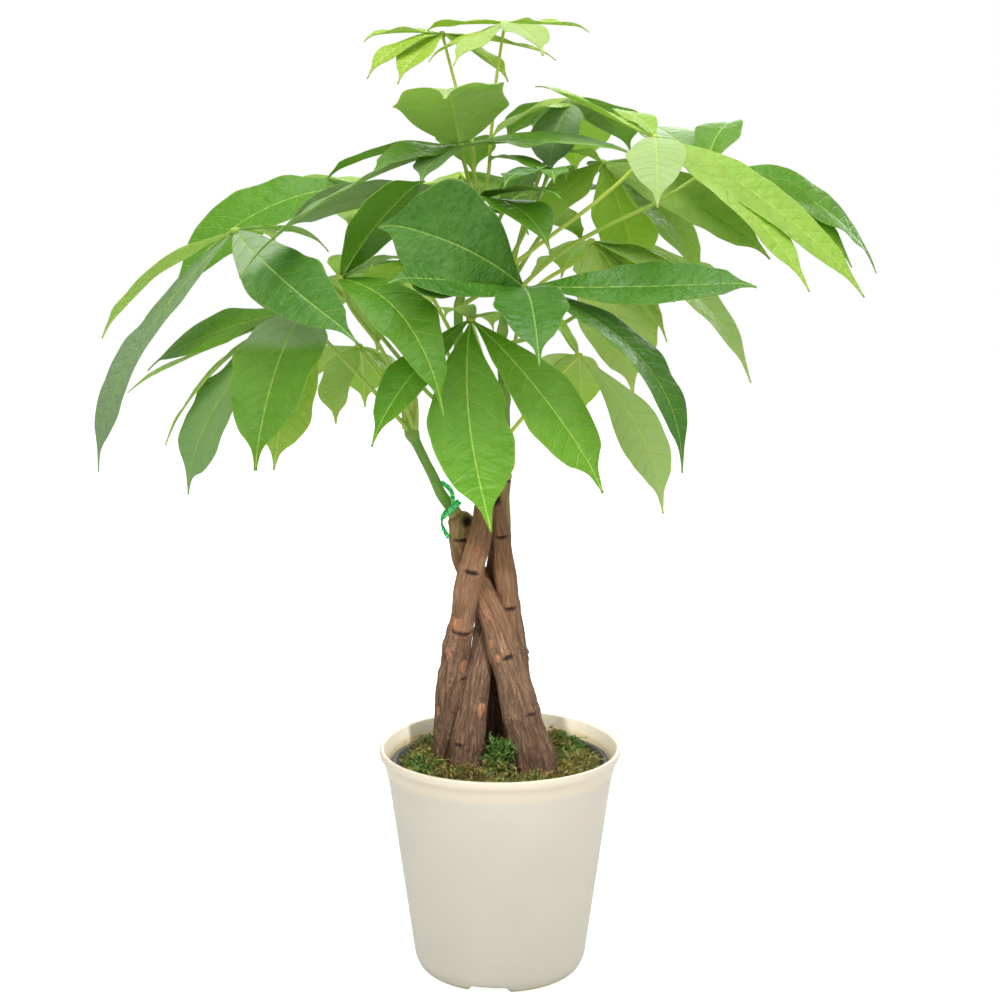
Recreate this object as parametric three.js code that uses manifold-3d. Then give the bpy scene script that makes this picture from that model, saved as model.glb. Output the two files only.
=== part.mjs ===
// A potted money tree: five braided trunks in a cream pot, with palmate leaves on long stalks.
// Millimetres, +Z up. The origin is on the pot's axis at the level it stands on, and -Y is the front.
import * as THREE from "three";
import { mergeVertices } from "three/addons/utils/BufferGeometryUtils.js";
import Module from "manifold-3d";

const wasm = await Module();
wasm.setup();

// Driving dimensions of the outer pot
const potHeight = 146;
const rimRadius = 78;
const footRadius = 53.3;
const footCorner = 6;
const wall = 2.2;
const lipHeight = 7;
const lipWidth = 3.2;
const collarHeight = 12;
const collarProud = 1.3;
const wallFootRadius = 54.6;
const wallTopRadius = 74;
const floorUnderside = 5;
const floorTop = 8;
const notchCount = 3;
const notchWidth = 26;
const notchHeight = 3.5;
const notchAngle = -98;
const potSides = 36;

// Driving dimensions of the nursery pot, the soil and the moss
const seat = 0.3;
const nurseryHeight = 130;
const nurseryTopRadius = 70;
const nurseryFootRadius = 47;
const nurseryWall = 1.4;
const nurseryRim = 1.5;
const drainRadius = 4;
const drainCircle = 34;
const drainCount = 6;
const soilLevel = 126;
const mossRadius = 64.4;
const mossCentre = 16;
const mossDepth = 5;
const mossBump = 4;
const innerSides = 30;
const mossSides = 32;
const mossRings = 3;

// Driving dimensions of trunks, shoots, stalks and blades
const trunkSides = 10;
const trunkStep = 19;
const shootSides = 7;
const stalkSides = 5;
const stalkStep = 32;
const shootStep = 14;
const stalkRadius = 1.5;
const hubRadius = 3.4;
const hubGrip = 1.9;
const bladeThickness = 0.8;
const bladeStep = 27;
const bladeFold = 6;
const bladeWave = 1.4;

// Driving dimensions of the foil tie
const tieRadius = 6.8;
const tieThickness = 0.9;
const tieWidth = 3.4;
const tieTilt = 38;
const tiePlace = [-35, 0, 304];
const tieTails = [
  [[-40.3, -6, 300], [-39.5, -6, 292], [-36, -6, 285]],
  [[-29.6, -6, 307], [-30.4, -6, 314], [-36, -6, 320]],
];

const vec = (p) => new THREE.Vector3(p[0], p[1], p[2]);
const radians = THREE.MathUtils.degToRad;
const mix = THREE.MathUtils.lerp;

// Each trunk as [x, y, z, radius] from its buried foot to its cut top
const trunks = {
  trunk_front_right: [
    [28, -24, 100, 14.5], [24, -22, 136, 13.8], [15, -18, 168, 12.3], [7, -14, 198, 10.8],
    [-4, -7, 232, 9.5], [-16, 3, 255, 9.2], [-23, 6, 275, 8.6], [-25, 5, 300, 8],
  ],
  trunk_front_left: [
    [-37, 4, 100, 10.5], [-34, 2, 139, 10], [-33, -3, 172, 9.5], [-30, -8, 200, 9],
    [-24, -13, 232, 8], [-19, -14, 262, 8], [-12, -10, 288, 7.5], [-9, -4, 306, 6.5],
  ],
  trunk_middle: [
    [-24, -18, 100, 12], [-22, -16, 139, 11], [-18, -12, 170, 9.8], [-13, -4, 200, 8.3],
    [-9, 4, 222, 7.5], [-4, 12, 248, 7], [0, 14, 278, 6.8], [1, 13, 305, 5.8], [1, 12, 320, 5.2],
  ],
  trunk_right: [
    [25, 9, 100, 11.5], [20, 9, 138, 11], [12.5, 7, 175, 9.5], [9.5, 4, 209, 8.2],
    [6, 0, 239, 7.3], [2, -3, 268, 7], [0, -3, 297, 5.6], [-1, -2, 314, 4],
  ],
  trunk_back: [
    [-2, 28, 100, 12], [-3, 25, 136, 11.5], [-4, 20, 173, 10], [-6, 17, 207, 8.5],
    [-11, 16, 235, 8], [-16, 17, 262, 6.5],
  ],
};

// Each green shoot in the same way, from the trunk top that it grew from
const shoots = {
  shoot_left: [
    [-30, 3, 292, 4.2], [-34, 1, 301, 4.6], [-38, -1, 310, 3.9], [-44, -5, 326, 3.7], [-52, -9, 344, 4],
    [-55, -10, 351, 5.4], [-56, -10, 358, 3.4],
  ],
  shoot_middle: [
    [-10, -3, 306.5, 4.6], [-14, 2, 330, 4], [-19, 5, 358, 3.5], [-25, 5, 400, 3.1], [-26, 5, 426, 2.8],
    [-22, 5, 448, 2.7], [-17, 3, 475, 2.6], [-13, 1, 500, 3],
  ],
  shoot_right: [
    [1, 12, 320.5, 4.6], [2, 8, 330, 3.8], [3, 2, 348, 3.4], [3, 0, 371, 3.2], [1, 4, 402, 3], [3, 8, 427, 2.8],
    [9, 10, 456, 2.8],
  ],
};

// The leaves: the stalk from its foot to the hub, then each leaflet as the tip's place from the hub
// (across, back and up), its greatest width, how far its middle is lifted towards its upper face and
// how far that face is rolled in degrees. Three more are rare: how far the middle sways to one side,
// and how far out the bend and the widest place lie, as shares of the leaflet
const leaves = {
  leaf_a: {
    green: "young",
    stalk: [[-14, 0, 497], [-16, 4, 513], [-17, 7, 530], [-26, 5, 560], [-36, 20, 598]],
    leaflets: [
      [-48, -10, -3, 20, 2, -8], [-44, -40, -28, 18, 5, -10], [-25, -50, -32, 22, 2, 0],
      [41, -20, -28, 24, 3, 10], [71, 2, -13, 16, 2, 5], [-28, 50, -14, 24, 4, 0],
    ],
  },
  leaf_b: {
    green: "young",
    stalk: [[-10, 1, 500], [-7, 8, 513], [-6, 12, 531], [-4, 3, 550], [-2, -11, 569], [3, -8, 601]],
    leaflets: [
      [51, -4, -3, 18, 1, 5], [22, -47, -21, 26, 3, 0], [-30, -50, -27, 20, 1, 0],
      [-46, -12, -21, 16, 1, -5], [-49, 28, 1, 18, 1, 0], [17, 55, -2, 22, 3, 0],
    ],
  },
  leaf_c: {
    green: "mid",
    stalk: [[-17, 2, 482], [-19, 1, 505], [-25, 0, 528]],
    leaflets: [
      [-6, -84, 25, 66, 14, 6, 0, 0.5, 0.44], [109, -20, -5, 40, 5, 12], [-86, 35, -16, 32, 6, 0],
      [-121, -112, -75, 20, 11, 20, 0, 0.55], [-51, -45, -16, 32, 3, -10], [-22, -52, -22, 28, 4, 0],
      [8, 72, -12, 38, 10, 0],
    ],
  },
  leaf_d: {
    green: "dark",
    stalk: [[3, 0, 379], [6, -14, 392], [10, -35, 414], [14, -60, 443]],
    leaflets: [
      [-84, -25, 38, 70, 12, -72, 1.5, 0.5, 0.58], [-76, -62, 7, 38, 1, -32],
      [133, -30, 4, 46, 2, 30, 6, 0.62, 0.56], [91, -40, -102, 38, 27, 12, 0, 0.62],
      [7, -105, -36, 42, 10, 0, 0, 0.5, 0.46],
    ],
  },
  leaf_e: {
    green: "light",
    stalk: [[9, 9, 456], [27, -6, 470], [60, -22, 495], [80, -26, 513], [94, -20, 532]],
    leaflets: [
      [-72, 30, 36, 26, 0, 0], [-4, -65, -40, 34, 8, 0], [123, -30, -92, 38, 10, 32],
      [86, -55, -88, 34, 8, 15], [-23, 45, 19, 22, 5, 0],
    ],
  },
  leaf_f: {
    green: "mid",
    stalk: [[4, 8, 433], [36, -6, 462], [63, -13, 478], [97, -13, 494], [126, -5, 512]],
    leaflets: [
      [24, 50, 34, 30, 8, 0], [118, 50, -59, 42, 18, 40], [95, 15, -55, 34, 12, 45],
      [-31, 75, 34, 42, 5, 0],
    ],
  },
  leaf_g: {
    green: "dark",
    stalk: [
      [-19, 5, 357], [-43, -5, 374], [-61, -15, 397], [-89, -29, 431], [-125, -46, 462], [-157, -52, 476],
    ],
    leaflets: [
      [78, -76, -59, 41, 2, 38, 4, 0.5, 0.48], [-83, -10, -139, 34, 16, -28, 0, 0.66],
      [-85, 20, -61, 30, 8, 0], [53, 25, -9, 24, 6, 0], [20, 34, -4, 22, 3, 0],
    ],
  },
  leaf_h: {
    green: "mid",
    stalk: [[-55, -11, 351], [-75, -25, 376], [-102, -50, 409], [-116, -65, 430]],
    leaflets: [
      [-22, -55, -85, 58, 10, 0, -1, 0.5, 0.41], [-71, 5, -107, 40, 16, -48, 0, 0.6, 0.62],
      [-85, 10, -78, 26, 10, -10], [-97, 25, -34, 38, 5, -30], [-113, 40, -49, 26, 2, -10],
      [-18, -5, -91, 36, 6, -75],
    ],
  },
  leaf_i: {
    green: "mid",
    stalk: [[-54, -12, 354], [-65, -32, 390], [-73, -42, 408], [-89, -55, 432], [-94, -60, 448]],
    leaflets: [
      [63, -75, -71, 38, 17, 16, -6, 0.5, 0.44], [50, 5, 60, 36, 6, -50], [38, 0, 13, 26, 3, 0],
      [20, 20, -42, 36, 8, 0], [13, 80, 9, 32, 6, 0],
    ],
  },
  leaf_j: {
    green: "mid",
    stalk: [[2, 0, 371], [-7, -20, 388], [-13, -50, 409], [-17, -75, 425]],
    leaflets: [
      [12, -45, -115, 47, 12, 0, 10, 0.5, 0.6], [76, -30, -95, 42, 10, 40, 0, 0.5, 0.6],
      [-55, -50, -66, 32, 8, -10, 0, 0.5, 0.58], [-17, 55, 2, 20, 4, 0], [13, 42, -5, 20, 4, 0],
    ],
  },
  leaf_k: {
    green: "light",
    stalk: [[3, 1, 346], [20, -12, 368], [40, -25, 392], [48, -30, 401]],
    leaflets: [
      [50, -30, -90, 30, 9, 30, -6, 0.5, 0.6], [-19, 30, 26, 11, 2, 0], [5, 62, -42, 30, 8, 0],
      [-24, 56, -26, 26, 8, 0],
    ],
  },
  leaf_l: {
    green: "light",
    stalk: [[3, 8, 425], [29, 12, 446], [51, 8, 460], [57, 6, 470]],
    leaflets: [
      [26, -15, -91, 54, 6, 40], [47, -13, -59, 24, 5, 20], [99, -18, -84, 42, 18, 20],
      [52, -4, -13, 22, 3, 0], [-17, 45, -20, 30, 5, 0],
    ],
  },
  leaf_m: {
    green: "dark",
    stalk: [[-24, 5, 430], [-2, -14, 446], [12, -28, 470], [22, -35, 492], [29, -38, 510]],
    leaflets: [
      [-27, -42, -7, 26, 4, 0], [-36, 46, 12, 26, 3, 0], [2, -42, -4, 20, 3, 0], [12, 26, 0, 20, 3, 0],
    ],
  },
  leaf_n: {
    green: "mid",
    stalk: [[5, 9, 441], [29, 18, 478], [50, 20, 500], [65, 25, 519]],
    leaflets: [
      [23, 1, -72, 42, 6, 78], [-27, -5, 6, 28, 3, 0], [64, -5, -72, 46, 8, 30],
      [103, -25, -57, 38, 8, 45], [-39, -15, -43, 34, 6, -20], [10, 58, -10, 30, 5, 0],
    ],
  },
  leaf_o: {
    green: "dark",
    stalk: [[-18, 3, 470], [-17, -10, 484], [-13, -20, 495]],
    leaflets: [
      [42, -60, -28, 36, 9, 0], [48, -65, 2, 28, 4, 0], [-122, 5, -17, 34, 13, 30, 0, 0.55, 0.62],
      [-72, 46, -12, 34, 6, 0],
    ],
  },
  leaf_p: {
    green: "light",
    stalk: [[-57, -8, 354], [-62, -3, 369], [-72, -1, 382], [-88, -5, 405]],
    leaflets: [
      [-14, -12, -44, 38, 6, 0], [31, -8, -27, 32, 2, 0], [-36, 45, -25, 32, 6, 0],
      [-2, 70, -41, 34, 8, 0],
    ],
  },
  leaf_q: {
    green: "light",
    stalk: [[-25, 5, 402], [-43, 20, 435], [-64, 35, 471], [-85, 40, 504]],
    leaflets: [
      [-122, -35, -68, 50, 24, -35], [-8, -36, -25, 34, 5, 0], [-51, 70, 0, 36, 6, 0],
      [44, 66, -18, 36, 6, 0],
    ],
  },
  leaf_r: {
    green: "mid",
    stalk: [
      [2, 6, 414], [4, 18, 432], [8, 22, 452], [12, 23, 470], [21, 25, 500], [33, 31, 530], [47, 40, 558],
    ],
    leaflets: [
      [-53, -20, -22, 28, 4, 0], [-16, -25, -45, 36, 6, 0], [40, 45, -26, 40, 6, 0],
      [-43, 45, -20, 38, 6, 0], [4, 76, -40, 56, 10, 0],
    ],
  },
  leaf_s: {
    green: "dark",
    stalk: [[7, 11, 453], [0, 24, 464], [-2, 40, 478], [2, 50, 490]],
    leaflets: [
      [76, -5, 14, 44, 4, 8], [26, 22, 30, 34, 3, 0], [-32, 60, -8, 34, 5, 0], [56, 60, -20, 36, 8, 0],
    ],
  },
  leaf_t: {
    green: "mid",
    stalk: [[-20, 7, 366], [-32, 30, 395], [-50, 62, 430], [-65, 85, 455]],
    leaflets: [
      [-95, 15, -45, 38, 10, 0], [-60, 74, -40, 40, 10, 0], [5, 82, -45, 40, 10, 0],
      [45, 40, -12, 34, 5, 0], [-20, -40, -30, 34, 5, 0],
    ],
  },
  leaf_u: {
    green: "mid",
    stalk: [[1, 6, 405], [28, 22, 412], [62, 55, 432], [80, 85, 465]],
    leaflets: [
      [75, 20, -25, 36, 6, 0], [45, 80, -35, 40, 8, 0], [-15, 82, -30, 40, 8, 0], [-58, 45, -14, 36, 5, 0],
      [15, -35, -30, 32, 5, 0],
    ],
  },
  leaf_v: {
    green: "light",
    stalk: [[-18, 6, 470], [-16, 32, 490], [-20, 70, 508], [-25, 95, 514]],
    leaflets: [
      [-68, 42, -38, 38, 8, 0], [-18, 70, -40, 40, 8, 0], [45, 62, -36, 38, 8, 0], [75, 12, -32, 36, 6, 0],
    ],
  },
};

const colours = {
  pot: 0xe4dcca,
  nursery: 0x3a3a3c,
  soil: 0x2c211a,
  moss: 0x6b7a2a,
  bark: 0x7d6452,
  shoot: 0x6f9a3a,
  tie: 0x35b65a,
  young: 0xa9cf4a,
  light: 0x93c052,
  mid: 0x5f9a2e,
  dark: 0x35701f,
};

function material(colour, roughness) {
  return new THREE.MeshStandardMaterial({ color: colour, roughness, metalness: 0 });
}

// Closed three.js geometry to a solid for joining and cutting, and back
function solidOf(geometry) {
  const bare = geometry.index ? geometry.toNonIndexed() : geometry.clone();
  bare.deleteAttribute("normal");
  bare.deleteAttribute("uv");
  const merged = mergeVertices(bare, 1e-4);
  const mesh = new wasm.Mesh({
    numProp: 3,
    vertProperties: merged.attributes.position.array,
    triVerts: new Uint32Array(merged.index.array),
  });
  return new wasm.Manifold(mesh);
}

function geometryOf(solid) {
  const mesh = solid.getMesh();
  const geometry = new THREE.BufferGeometry();
  geometry.setAttribute("position", new THREE.BufferAttribute(new Float32Array(mesh.vertProperties), 3));
  geometry.setIndex(new THREE.BufferAttribute(new Uint32Array(mesh.triVerts), 1));
  return geometry;
}

// The largest body of a solid, without the scraps that a cut leaves
function largestBody(solid) {
  return solid.decompose().reduce((best, body) => (body.volume() > best.volume() ? body : best));
}

function meshOf(name, solid, colour, roughness) {
  const geometry = geometryOf(largestBody(solid)).toNonIndexed();
  geometry.computeVertexNormals();
  const mesh = new THREE.Mesh(geometry, material(colour, roughness));
  mesh.name = name;
  return mesh;
}

// A profile of [radius, height] turned about the vertical axis
function turned(profile, sides) {
  const points = profile.map(([r, z]) => new THREE.Vector2(r, z));
  const lathe = new THREE.LatheGeometry(points, sides);
  lathe.rotateX(Math.PI / 2);
  return solidOf(lathe);
}

function wallRadius(z) {
  return mix(wallFootRadius, wallTopRadius, z / (potHeight - lipHeight));
}

// Cream pot with a rolled lip, a shallow collar and a raised floor
function outerPot() {
  const lipUnder = potHeight - lipHeight;
  const collarFoot = lipUnder - collarHeight;
  const profile = [
    [0, floorUnderside],
    [footRadius - footCorner - 3, floorUnderside],
    [footRadius - footCorner - 1.5, 0],
    [footRadius - footCorner + 2.5, 0],
    [footRadius - 1.4, 1.6],
    [wallRadius(footCorner), footCorner],
    [wallRadius(collarFoot - 3), collarFoot - 3],
    [wallRadius(collarFoot) + collarProud, collarFoot],
    [wallRadius(lipUnder) + collarProud, lipUnder],
    [rimRadius - 0.4, lipUnder + 1],
    [rimRadius, potHeight - 2],
    [rimRadius - 1, potHeight],
    [rimRadius - lipWidth, potHeight - 0.6],
    [wallRadius(lipUnder) - wall, lipUnder - 1],
    [wallRadius(floorTop + 3) - wall, floorTop + 3],
    [wallRadius(floorTop) - wall - 2, floorTop],
    [0, floorTop],
  ];
  let pot = turned(profile, potSides);
  for (let i = 0; i < notchCount; i += 1) {
    pot = pot.subtract(footNotch(notchAngle + (i * 360) / notchCount));
  }
  return meshOf("outer_pot", pot, colours.pot, 0.45);
}

// A low arch with sloping ends, cut through the foot ring
function footNotch(degrees) {
  const arch = new THREE.Shape();
  arch.moveTo(-notchWidth / 2 - 3, -1);
  arch.lineTo(notchWidth / 2 + 3, -1);
  arch.lineTo(notchWidth / 2 - 3, notchHeight);
  arch.lineTo(-notchWidth / 2 + 3, notchHeight);
  arch.closePath();
  const cutter = new THREE.ExtrudeGeometry(arch, { depth: 20, bevelEnabled: false });
  cutter.rotateX(Math.PI / 2);
  cutter.rotateZ(Math.PI / 2);
  cutter.translate(footRadius - 14, 0, 0);
  cutter.rotateZ(radians(degrees));
  return solidOf(cutter);
}

function nurseryRadius(z) {
  return mix(nurseryFootRadius, nurseryTopRadius, (z - floorTop) / nurseryHeight);
}

// Thin grower's pot with drainage holes, standing on the outer pot's floor
function nurseryPot() {
  const foot = floorTop + seat;
  const top = floorTop + nurseryHeight;
  const profile = [
    [0, foot],
    [nurseryFootRadius - 2, foot],
    [nurseryFootRadius, foot + 2],
    [nurseryRadius(top - 4) - nurseryRim, top - 4],
    [nurseryTopRadius, top - 3.5],
    [nurseryTopRadius, top],
    [nurseryTopRadius - nurseryRim - nurseryWall, top],
    [nurseryRadius(top - 5) - nurseryRim - nurseryWall, top - 5],
    [nurseryFootRadius - nurseryWall, foot + nurseryWall],
    [0, foot + nurseryWall],
  ];
  let pot = turned(profile, innerSides);
  for (let i = 0; i < drainCount; i += 1) {
    const angle = (i / drainCount) * Math.PI * 2;
    const drill = new THREE.CylinderGeometry(drainRadius, drainRadius, 12, 8);
    drill.rotateX(Math.PI / 2);
    drill.translate(drainCircle * Math.cos(angle), drainCircle * Math.sin(angle), foot);
    pot = pot.subtract(solidOf(drill));
  }
  return meshOf("nursery_pot", pot, colours.nursery, 0.6);
}

function soil(trunkHoles) {
  const foot = floorTop + 2 * seat + nurseryWall;
  const profile = [
    [0, foot],
    [nurseryFootRadius - nurseryWall - seat - 0.5, foot],
    [nurseryRadius(soilLevel) - nurseryRim - nurseryWall - seat - 1, soilLevel],
    [0, soilLevel],
  ];
  let bed = turned(profile, innerSides);
  trunkHoles.forEach((hole) => (bed = bed.subtract(hole)));
  return meshOf("soil", bed, colours.soil, 0.95);
}

// Height of the moss above the soil at a polar place: low at the wall and humped in between
function mossHeight(share, angle) {
  const hump = Math.sin(Math.PI * Math.min(1, 0.25 + 0.75 * share));
  const tufts = Math.sin(5 * angle + 1) * Math.sin(7 * share + 2 * angle) + 0.6 * Math.sin(11 * angle + 3 * share);
  return mossDepth + mossBump * (0.7 * hump + 0.45 * tufts);
}

// A bumpy ring of moss round the trunks, raised by a formula
function moss(trunkHoles) {
  const positions = [];
  const indices = [];
  const rowLength = mossRings + 1;
  for (let i = 0; i < mossSides; i += 1) {
    const angle = (i / mossSides) * Math.PI * 2;
    for (let layer = 0; layer < 2; layer += 1) {
      for (let j = 0; j <= mossRings; j += 1) {
        const radius = mix(mossCentre, mossRadius, j / mossRings);
        const height = layer ? Math.max(1.5, mossHeight(j / mossRings, angle)) : 0;
        positions.push(radius * Math.cos(angle), radius * Math.sin(angle), soilLevel + seat + height);
      }
    }
  }
  const at = (i, layer, j) => ((i % mossSides) * 2 + layer) * rowLength + j;
  const quad = (a, b, c, d) => indices.push(a, b, c, a, c, d);
  for (let i = 0; i < mossSides; i += 1) {
    for (let j = 0; j < mossRings; j += 1) {
      quad(at(i, 1, j), at(i, 1, j + 1), at(i + 1, 1, j + 1), at(i + 1, 1, j));
      quad(at(i, 0, j), at(i + 1, 0, j), at(i + 1, 0, j + 1), at(i, 0, j + 1));
    }
    quad(at(i, 0, 0), at(i, 1, 0), at(i + 1, 1, 0), at(i + 1, 0, 0));
    quad(at(i, 0, mossRings), at(i + 1, 0, mossRings), at(i + 1, 1, mossRings), at(i, 1, mossRings));
  }
  let bed = solidOf(indexed(positions, indices));
  trunkHoles.forEach((hole) => (bed = bed.subtract(hole)));
  return meshOf("moss", bed, colours.moss, 1);
}

function indexed(positions, indices) {
  const geometry = new THREE.BufferGeometry();
  geometry.setAttribute("position", new THREE.Float32BufferAttribute(positions, 3));
  geometry.setIndex(indices);
  return geometry;
}

// A cylinder bent along a smooth curve through [x, y, z, radius] stations
function taperedTube(stations, sides, steps, swell = () => 1, extra = 0) {
  const curve = new THREE.CatmullRomCurve3(stations.map(vec));
  const radii = new THREE.SplineCurve(stations.map((p, i) => new THREE.Vector2(i, p[3])));
  const frames = curve.computeFrenetFrames(steps);
  const tube = new THREE.CylinderGeometry(1, 1, 1, sides, steps);
  const place = tube.attributes.position;
  for (let i = 0; i < place.count; i += 1) {
    const row = Math.round((0.5 - place.getY(i)) * steps);
    const centre = curve.getPoint(row / steps);
    const radius = radii.getPoint(row / steps).y * swell(row / steps) + extra;
    centre.addScaledVector(frames.normals[row], -place.getX(i) * radius);
    centre.addScaledVector(frames.binormals[row], -place.getZ(i) * radius);
    place.setXYZ(i, centre.x, centre.y, centre.z);
  }
  return solidOf(tube);
}

function stepsAlong(stations, step) {
  return Math.max(3, Math.round(new THREE.CatmullRomCurve3(stations.map(vec)).getLength() / step));
}

// Trunks swell a little at their old leaf scars
function trunkTube(stations, extra = 0) {
  const steps = stepsAlong(stations, trunkStep);
  return taperedTube(stations, trunkSides, steps, (t) => 1 + 0.04 * Math.sin(40 * t), extra);
}

function shootTube(stations, extra = 0) {
  return taperedTube(stations, shootSides, stepsAlong(stations, shootStep), () => 1, extra);
}

// Half width of a leaflet as a share of its greatest, from the stalk at 0 to the drip tip at 1
function outline(t, crest) {
  const share = Math.pow(t, Math.log(0.5) / Math.log(crest));
  const body = Math.pow(Math.sin(Math.PI * share), 0.86);
  return Math.max(0.04, body * (1 - 0.9 * Math.max(0, t - 0.75)));
}

// One leaflet: an arched, folded and gently waved blade of even thickness
function leaflet(hub, [across, back, up, width, lift, roll, sway = 0, bend = 0.5, crest = 0.526], order) {
  const tip = new THREE.Vector3(across, back, up);
  const along = tip.clone().normalize();
  const face = new THREE.Vector3(0, 0, 1).projectOnPlane(along).normalize();
  face.applyAxisAngle(along, radians(roll));
  const side = new THREE.Vector3().crossVectors(along, face);
  const middle = tip.clone().multiplyScalar(bend).addScaledVector(face, 2 * lift);
  middle.addScaledVector(side, 2 * sway);
  const start = hubGrip / (2 * middle.length());
  const stations = THREE.MathUtils.clamp(Math.round(tip.length() / bladeStep), 3, 5);
  const rib = new THREE.QuadraticBezierCurve3(hub, middle.add(hub), tip.add(hub));
  const positions = [];
  const indices = [];
  for (let i = 0; i <= stations; i += 1) {
    const t = mix(start, 1, i / stations);
    const centre = rib.getPoint(t);
    const normal = new THREE.Vector3().crossVectors(side, rib.getTangent(t)).normalize();
    const half = (outline(t, crest) * width) / 2;
    for (const layer of [0.5, -0.5]) {
      for (const edge of [-1, 0, 1]) {
        const wave = bladeWave * edge * Math.sin(9 * t + order) * Math.sin(Math.PI * t);
        const rise = Math.abs(edge) * half * Math.tan(radians(bladeFold)) + wave;
        const point = centre.clone().addScaledVector(side, edge * half);
        point.addScaledVector(normal, rise + layer * bladeThickness);
        positions.push(point.x, point.y, point.z);
      }
    }
  }
  const at = (i, layer, edge) => i * 6 + layer * 3 + edge;
  const quad = (a, b, c, d) => indices.push(a, b, c, a, c, d);
  for (let i = 0; i < stations; i += 1) {
    quad(at(i, 0, 0), at(i, 0, 1), at(i + 1, 0, 1), at(i + 1, 0, 0));
    quad(at(i, 0, 1), at(i, 0, 2), at(i + 1, 0, 2), at(i + 1, 0, 1));
    indices.push(at(i, 1, 0), at(i + 1, 1, 1), at(i, 1, 1), at(i, 1, 0), at(i + 1, 1, 0), at(i + 1, 1, 1));
    indices.push(at(i, 1, 1), at(i + 1, 1, 2), at(i, 1, 2), at(i, 1, 1), at(i + 1, 1, 1), at(i + 1, 1, 2));
    quad(at(i, 0, 0), at(i + 1, 0, 0), at(i + 1, 1, 0), at(i, 1, 0));
    quad(at(i, 0, 2), at(i, 1, 2), at(i + 1, 1, 2), at(i + 1, 0, 2));
  }
  for (const edge of [0, 1]) {
    quad(at(0, 0, edge), at(0, 1, edge), at(0, 1, edge + 1), at(0, 0, edge + 1));
    quad(at(stations, 0, edge + 1), at(stations, 1, edge + 1), at(stations, 1, edge), at(stations, 0, edge));
  }
  return solidOf(indexed(positions, indices));
}

// A palmate leaf: its stalk, a small hub and the leaflets, joined in one solid
function palmateLeaf(name, { green, stalk, leaflets }, clearances) {
  const hub = vec(stalk[stalk.length - 1]);
  const path = stalk.map((p, i) => [...p, i ? stalkRadius : stalkRadius * 1.3]);
  let leaf = taperedTube(path, stalkSides, stepsAlong(path, stalkStep));
  const knob = new THREE.IcosahedronGeometry(hubRadius, 0);
  knob.translate(hub.x, hub.y, hub.z);
  leaf = leaf.add(solidOf(knob));
  leaflets.forEach((row, order) => (leaf = leaf.add(leaflet(hub, row, order))));
  clearances.forEach((tube) => (leaf = leaf.subtract(tube)));
  return meshOf(name, leaf, colours[green], 0.4);
}

// A foil tie: a tilted band round the foot of the left shoot, with a tail hanging and a tail standing
function tie(clearances) {
  const ring = new THREE.CylinderGeometry(tieRadius, tieRadius, tieWidth, 16);
  const bore = new THREE.CylinderGeometry(tieRadius - tieThickness, tieRadius - tieThickness, tieWidth + 2, 16);
  const place = (geometry) => solidOf(geometry.rotateX(Math.PI / 2).rotateY(radians(-tieTilt)).translate(...tiePlace));
  let band = place(ring).subtract(place(bore));
  tieTails.forEach((stations) => (band = band.add(strip(stations))));
  clearances.forEach((tube) => (band = band.subtract(tube)));
  return meshOf("tie", band, colours.tie, 0.3);
}

// A flat strip bent through [x, y, z] stations, as wide as the tie in depth
function strip(stations) {
  const corners = stations.map((p) => [p[0] - tieThickness / 2, p[2]]);
  const back = stations.map((p) => [p[0] + tieThickness / 2, p[2]]).reverse();
  const shape = new THREE.Shape([...corners, ...back].map(([x, z]) => new THREE.Vector2(x, z)));
  const sheet = new THREE.ExtrudeGeometry(shape, { depth: tieWidth, bevelEnabled: false });
  sheet.rotateX(Math.PI / 2);
  sheet.translate(0, stations[0][1] + tieWidth, 0);
  return solidOf(sheet);
}

const tree = new THREE.Group();

const wideTrunks = Object.values(trunks).map((stations) => trunkTube(stations, seat));
Object.entries(trunks).forEach(([name, stations], i) => {
  let trunk = trunkTube(stations);
  wideTrunks.slice(0, i).forEach((earlier) => (trunk = trunk.subtract(earlier)));
  tree.add(meshOf(name, trunk, colours.bark, 0.9));
});

const wideShoots = [];
Object.entries(shoots).forEach(([name, stations]) => {
  let shoot = shootTube(stations);
  wideTrunks.forEach((trunk) => (shoot = shoot.subtract(trunk)));
  tree.add(meshOf(name, shoot, colours.shoot, 0.5));
  wideShoots.push(shootTube(stations, seat));
});

Object.entries(leaves).forEach(([name, leaf]) => {
  tree.add(palmateLeaf(name, leaf, [...wideTrunks, ...wideShoots]));
});

tree.add(tie([...wideTrunks, ...wideShoots]));
tree.add(outerPot(), nurseryPot(), soil(wideTrunks), moss(wideTrunks));

export default tree;
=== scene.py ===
# %% [markdown]
# # A potted money tree
# Five slim trunks are braided together in a cream pot, and long stalks carry fans of leaflets.
# This notebook dresses the measured model of that tree. Each step says what the piece is on the
# real plant, how it could be made in Blender, and why this way was chosen. Lengths are written in
# millimetres, as a gardener would measure them, and turned into metres where a mesh is made.

import math

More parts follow.
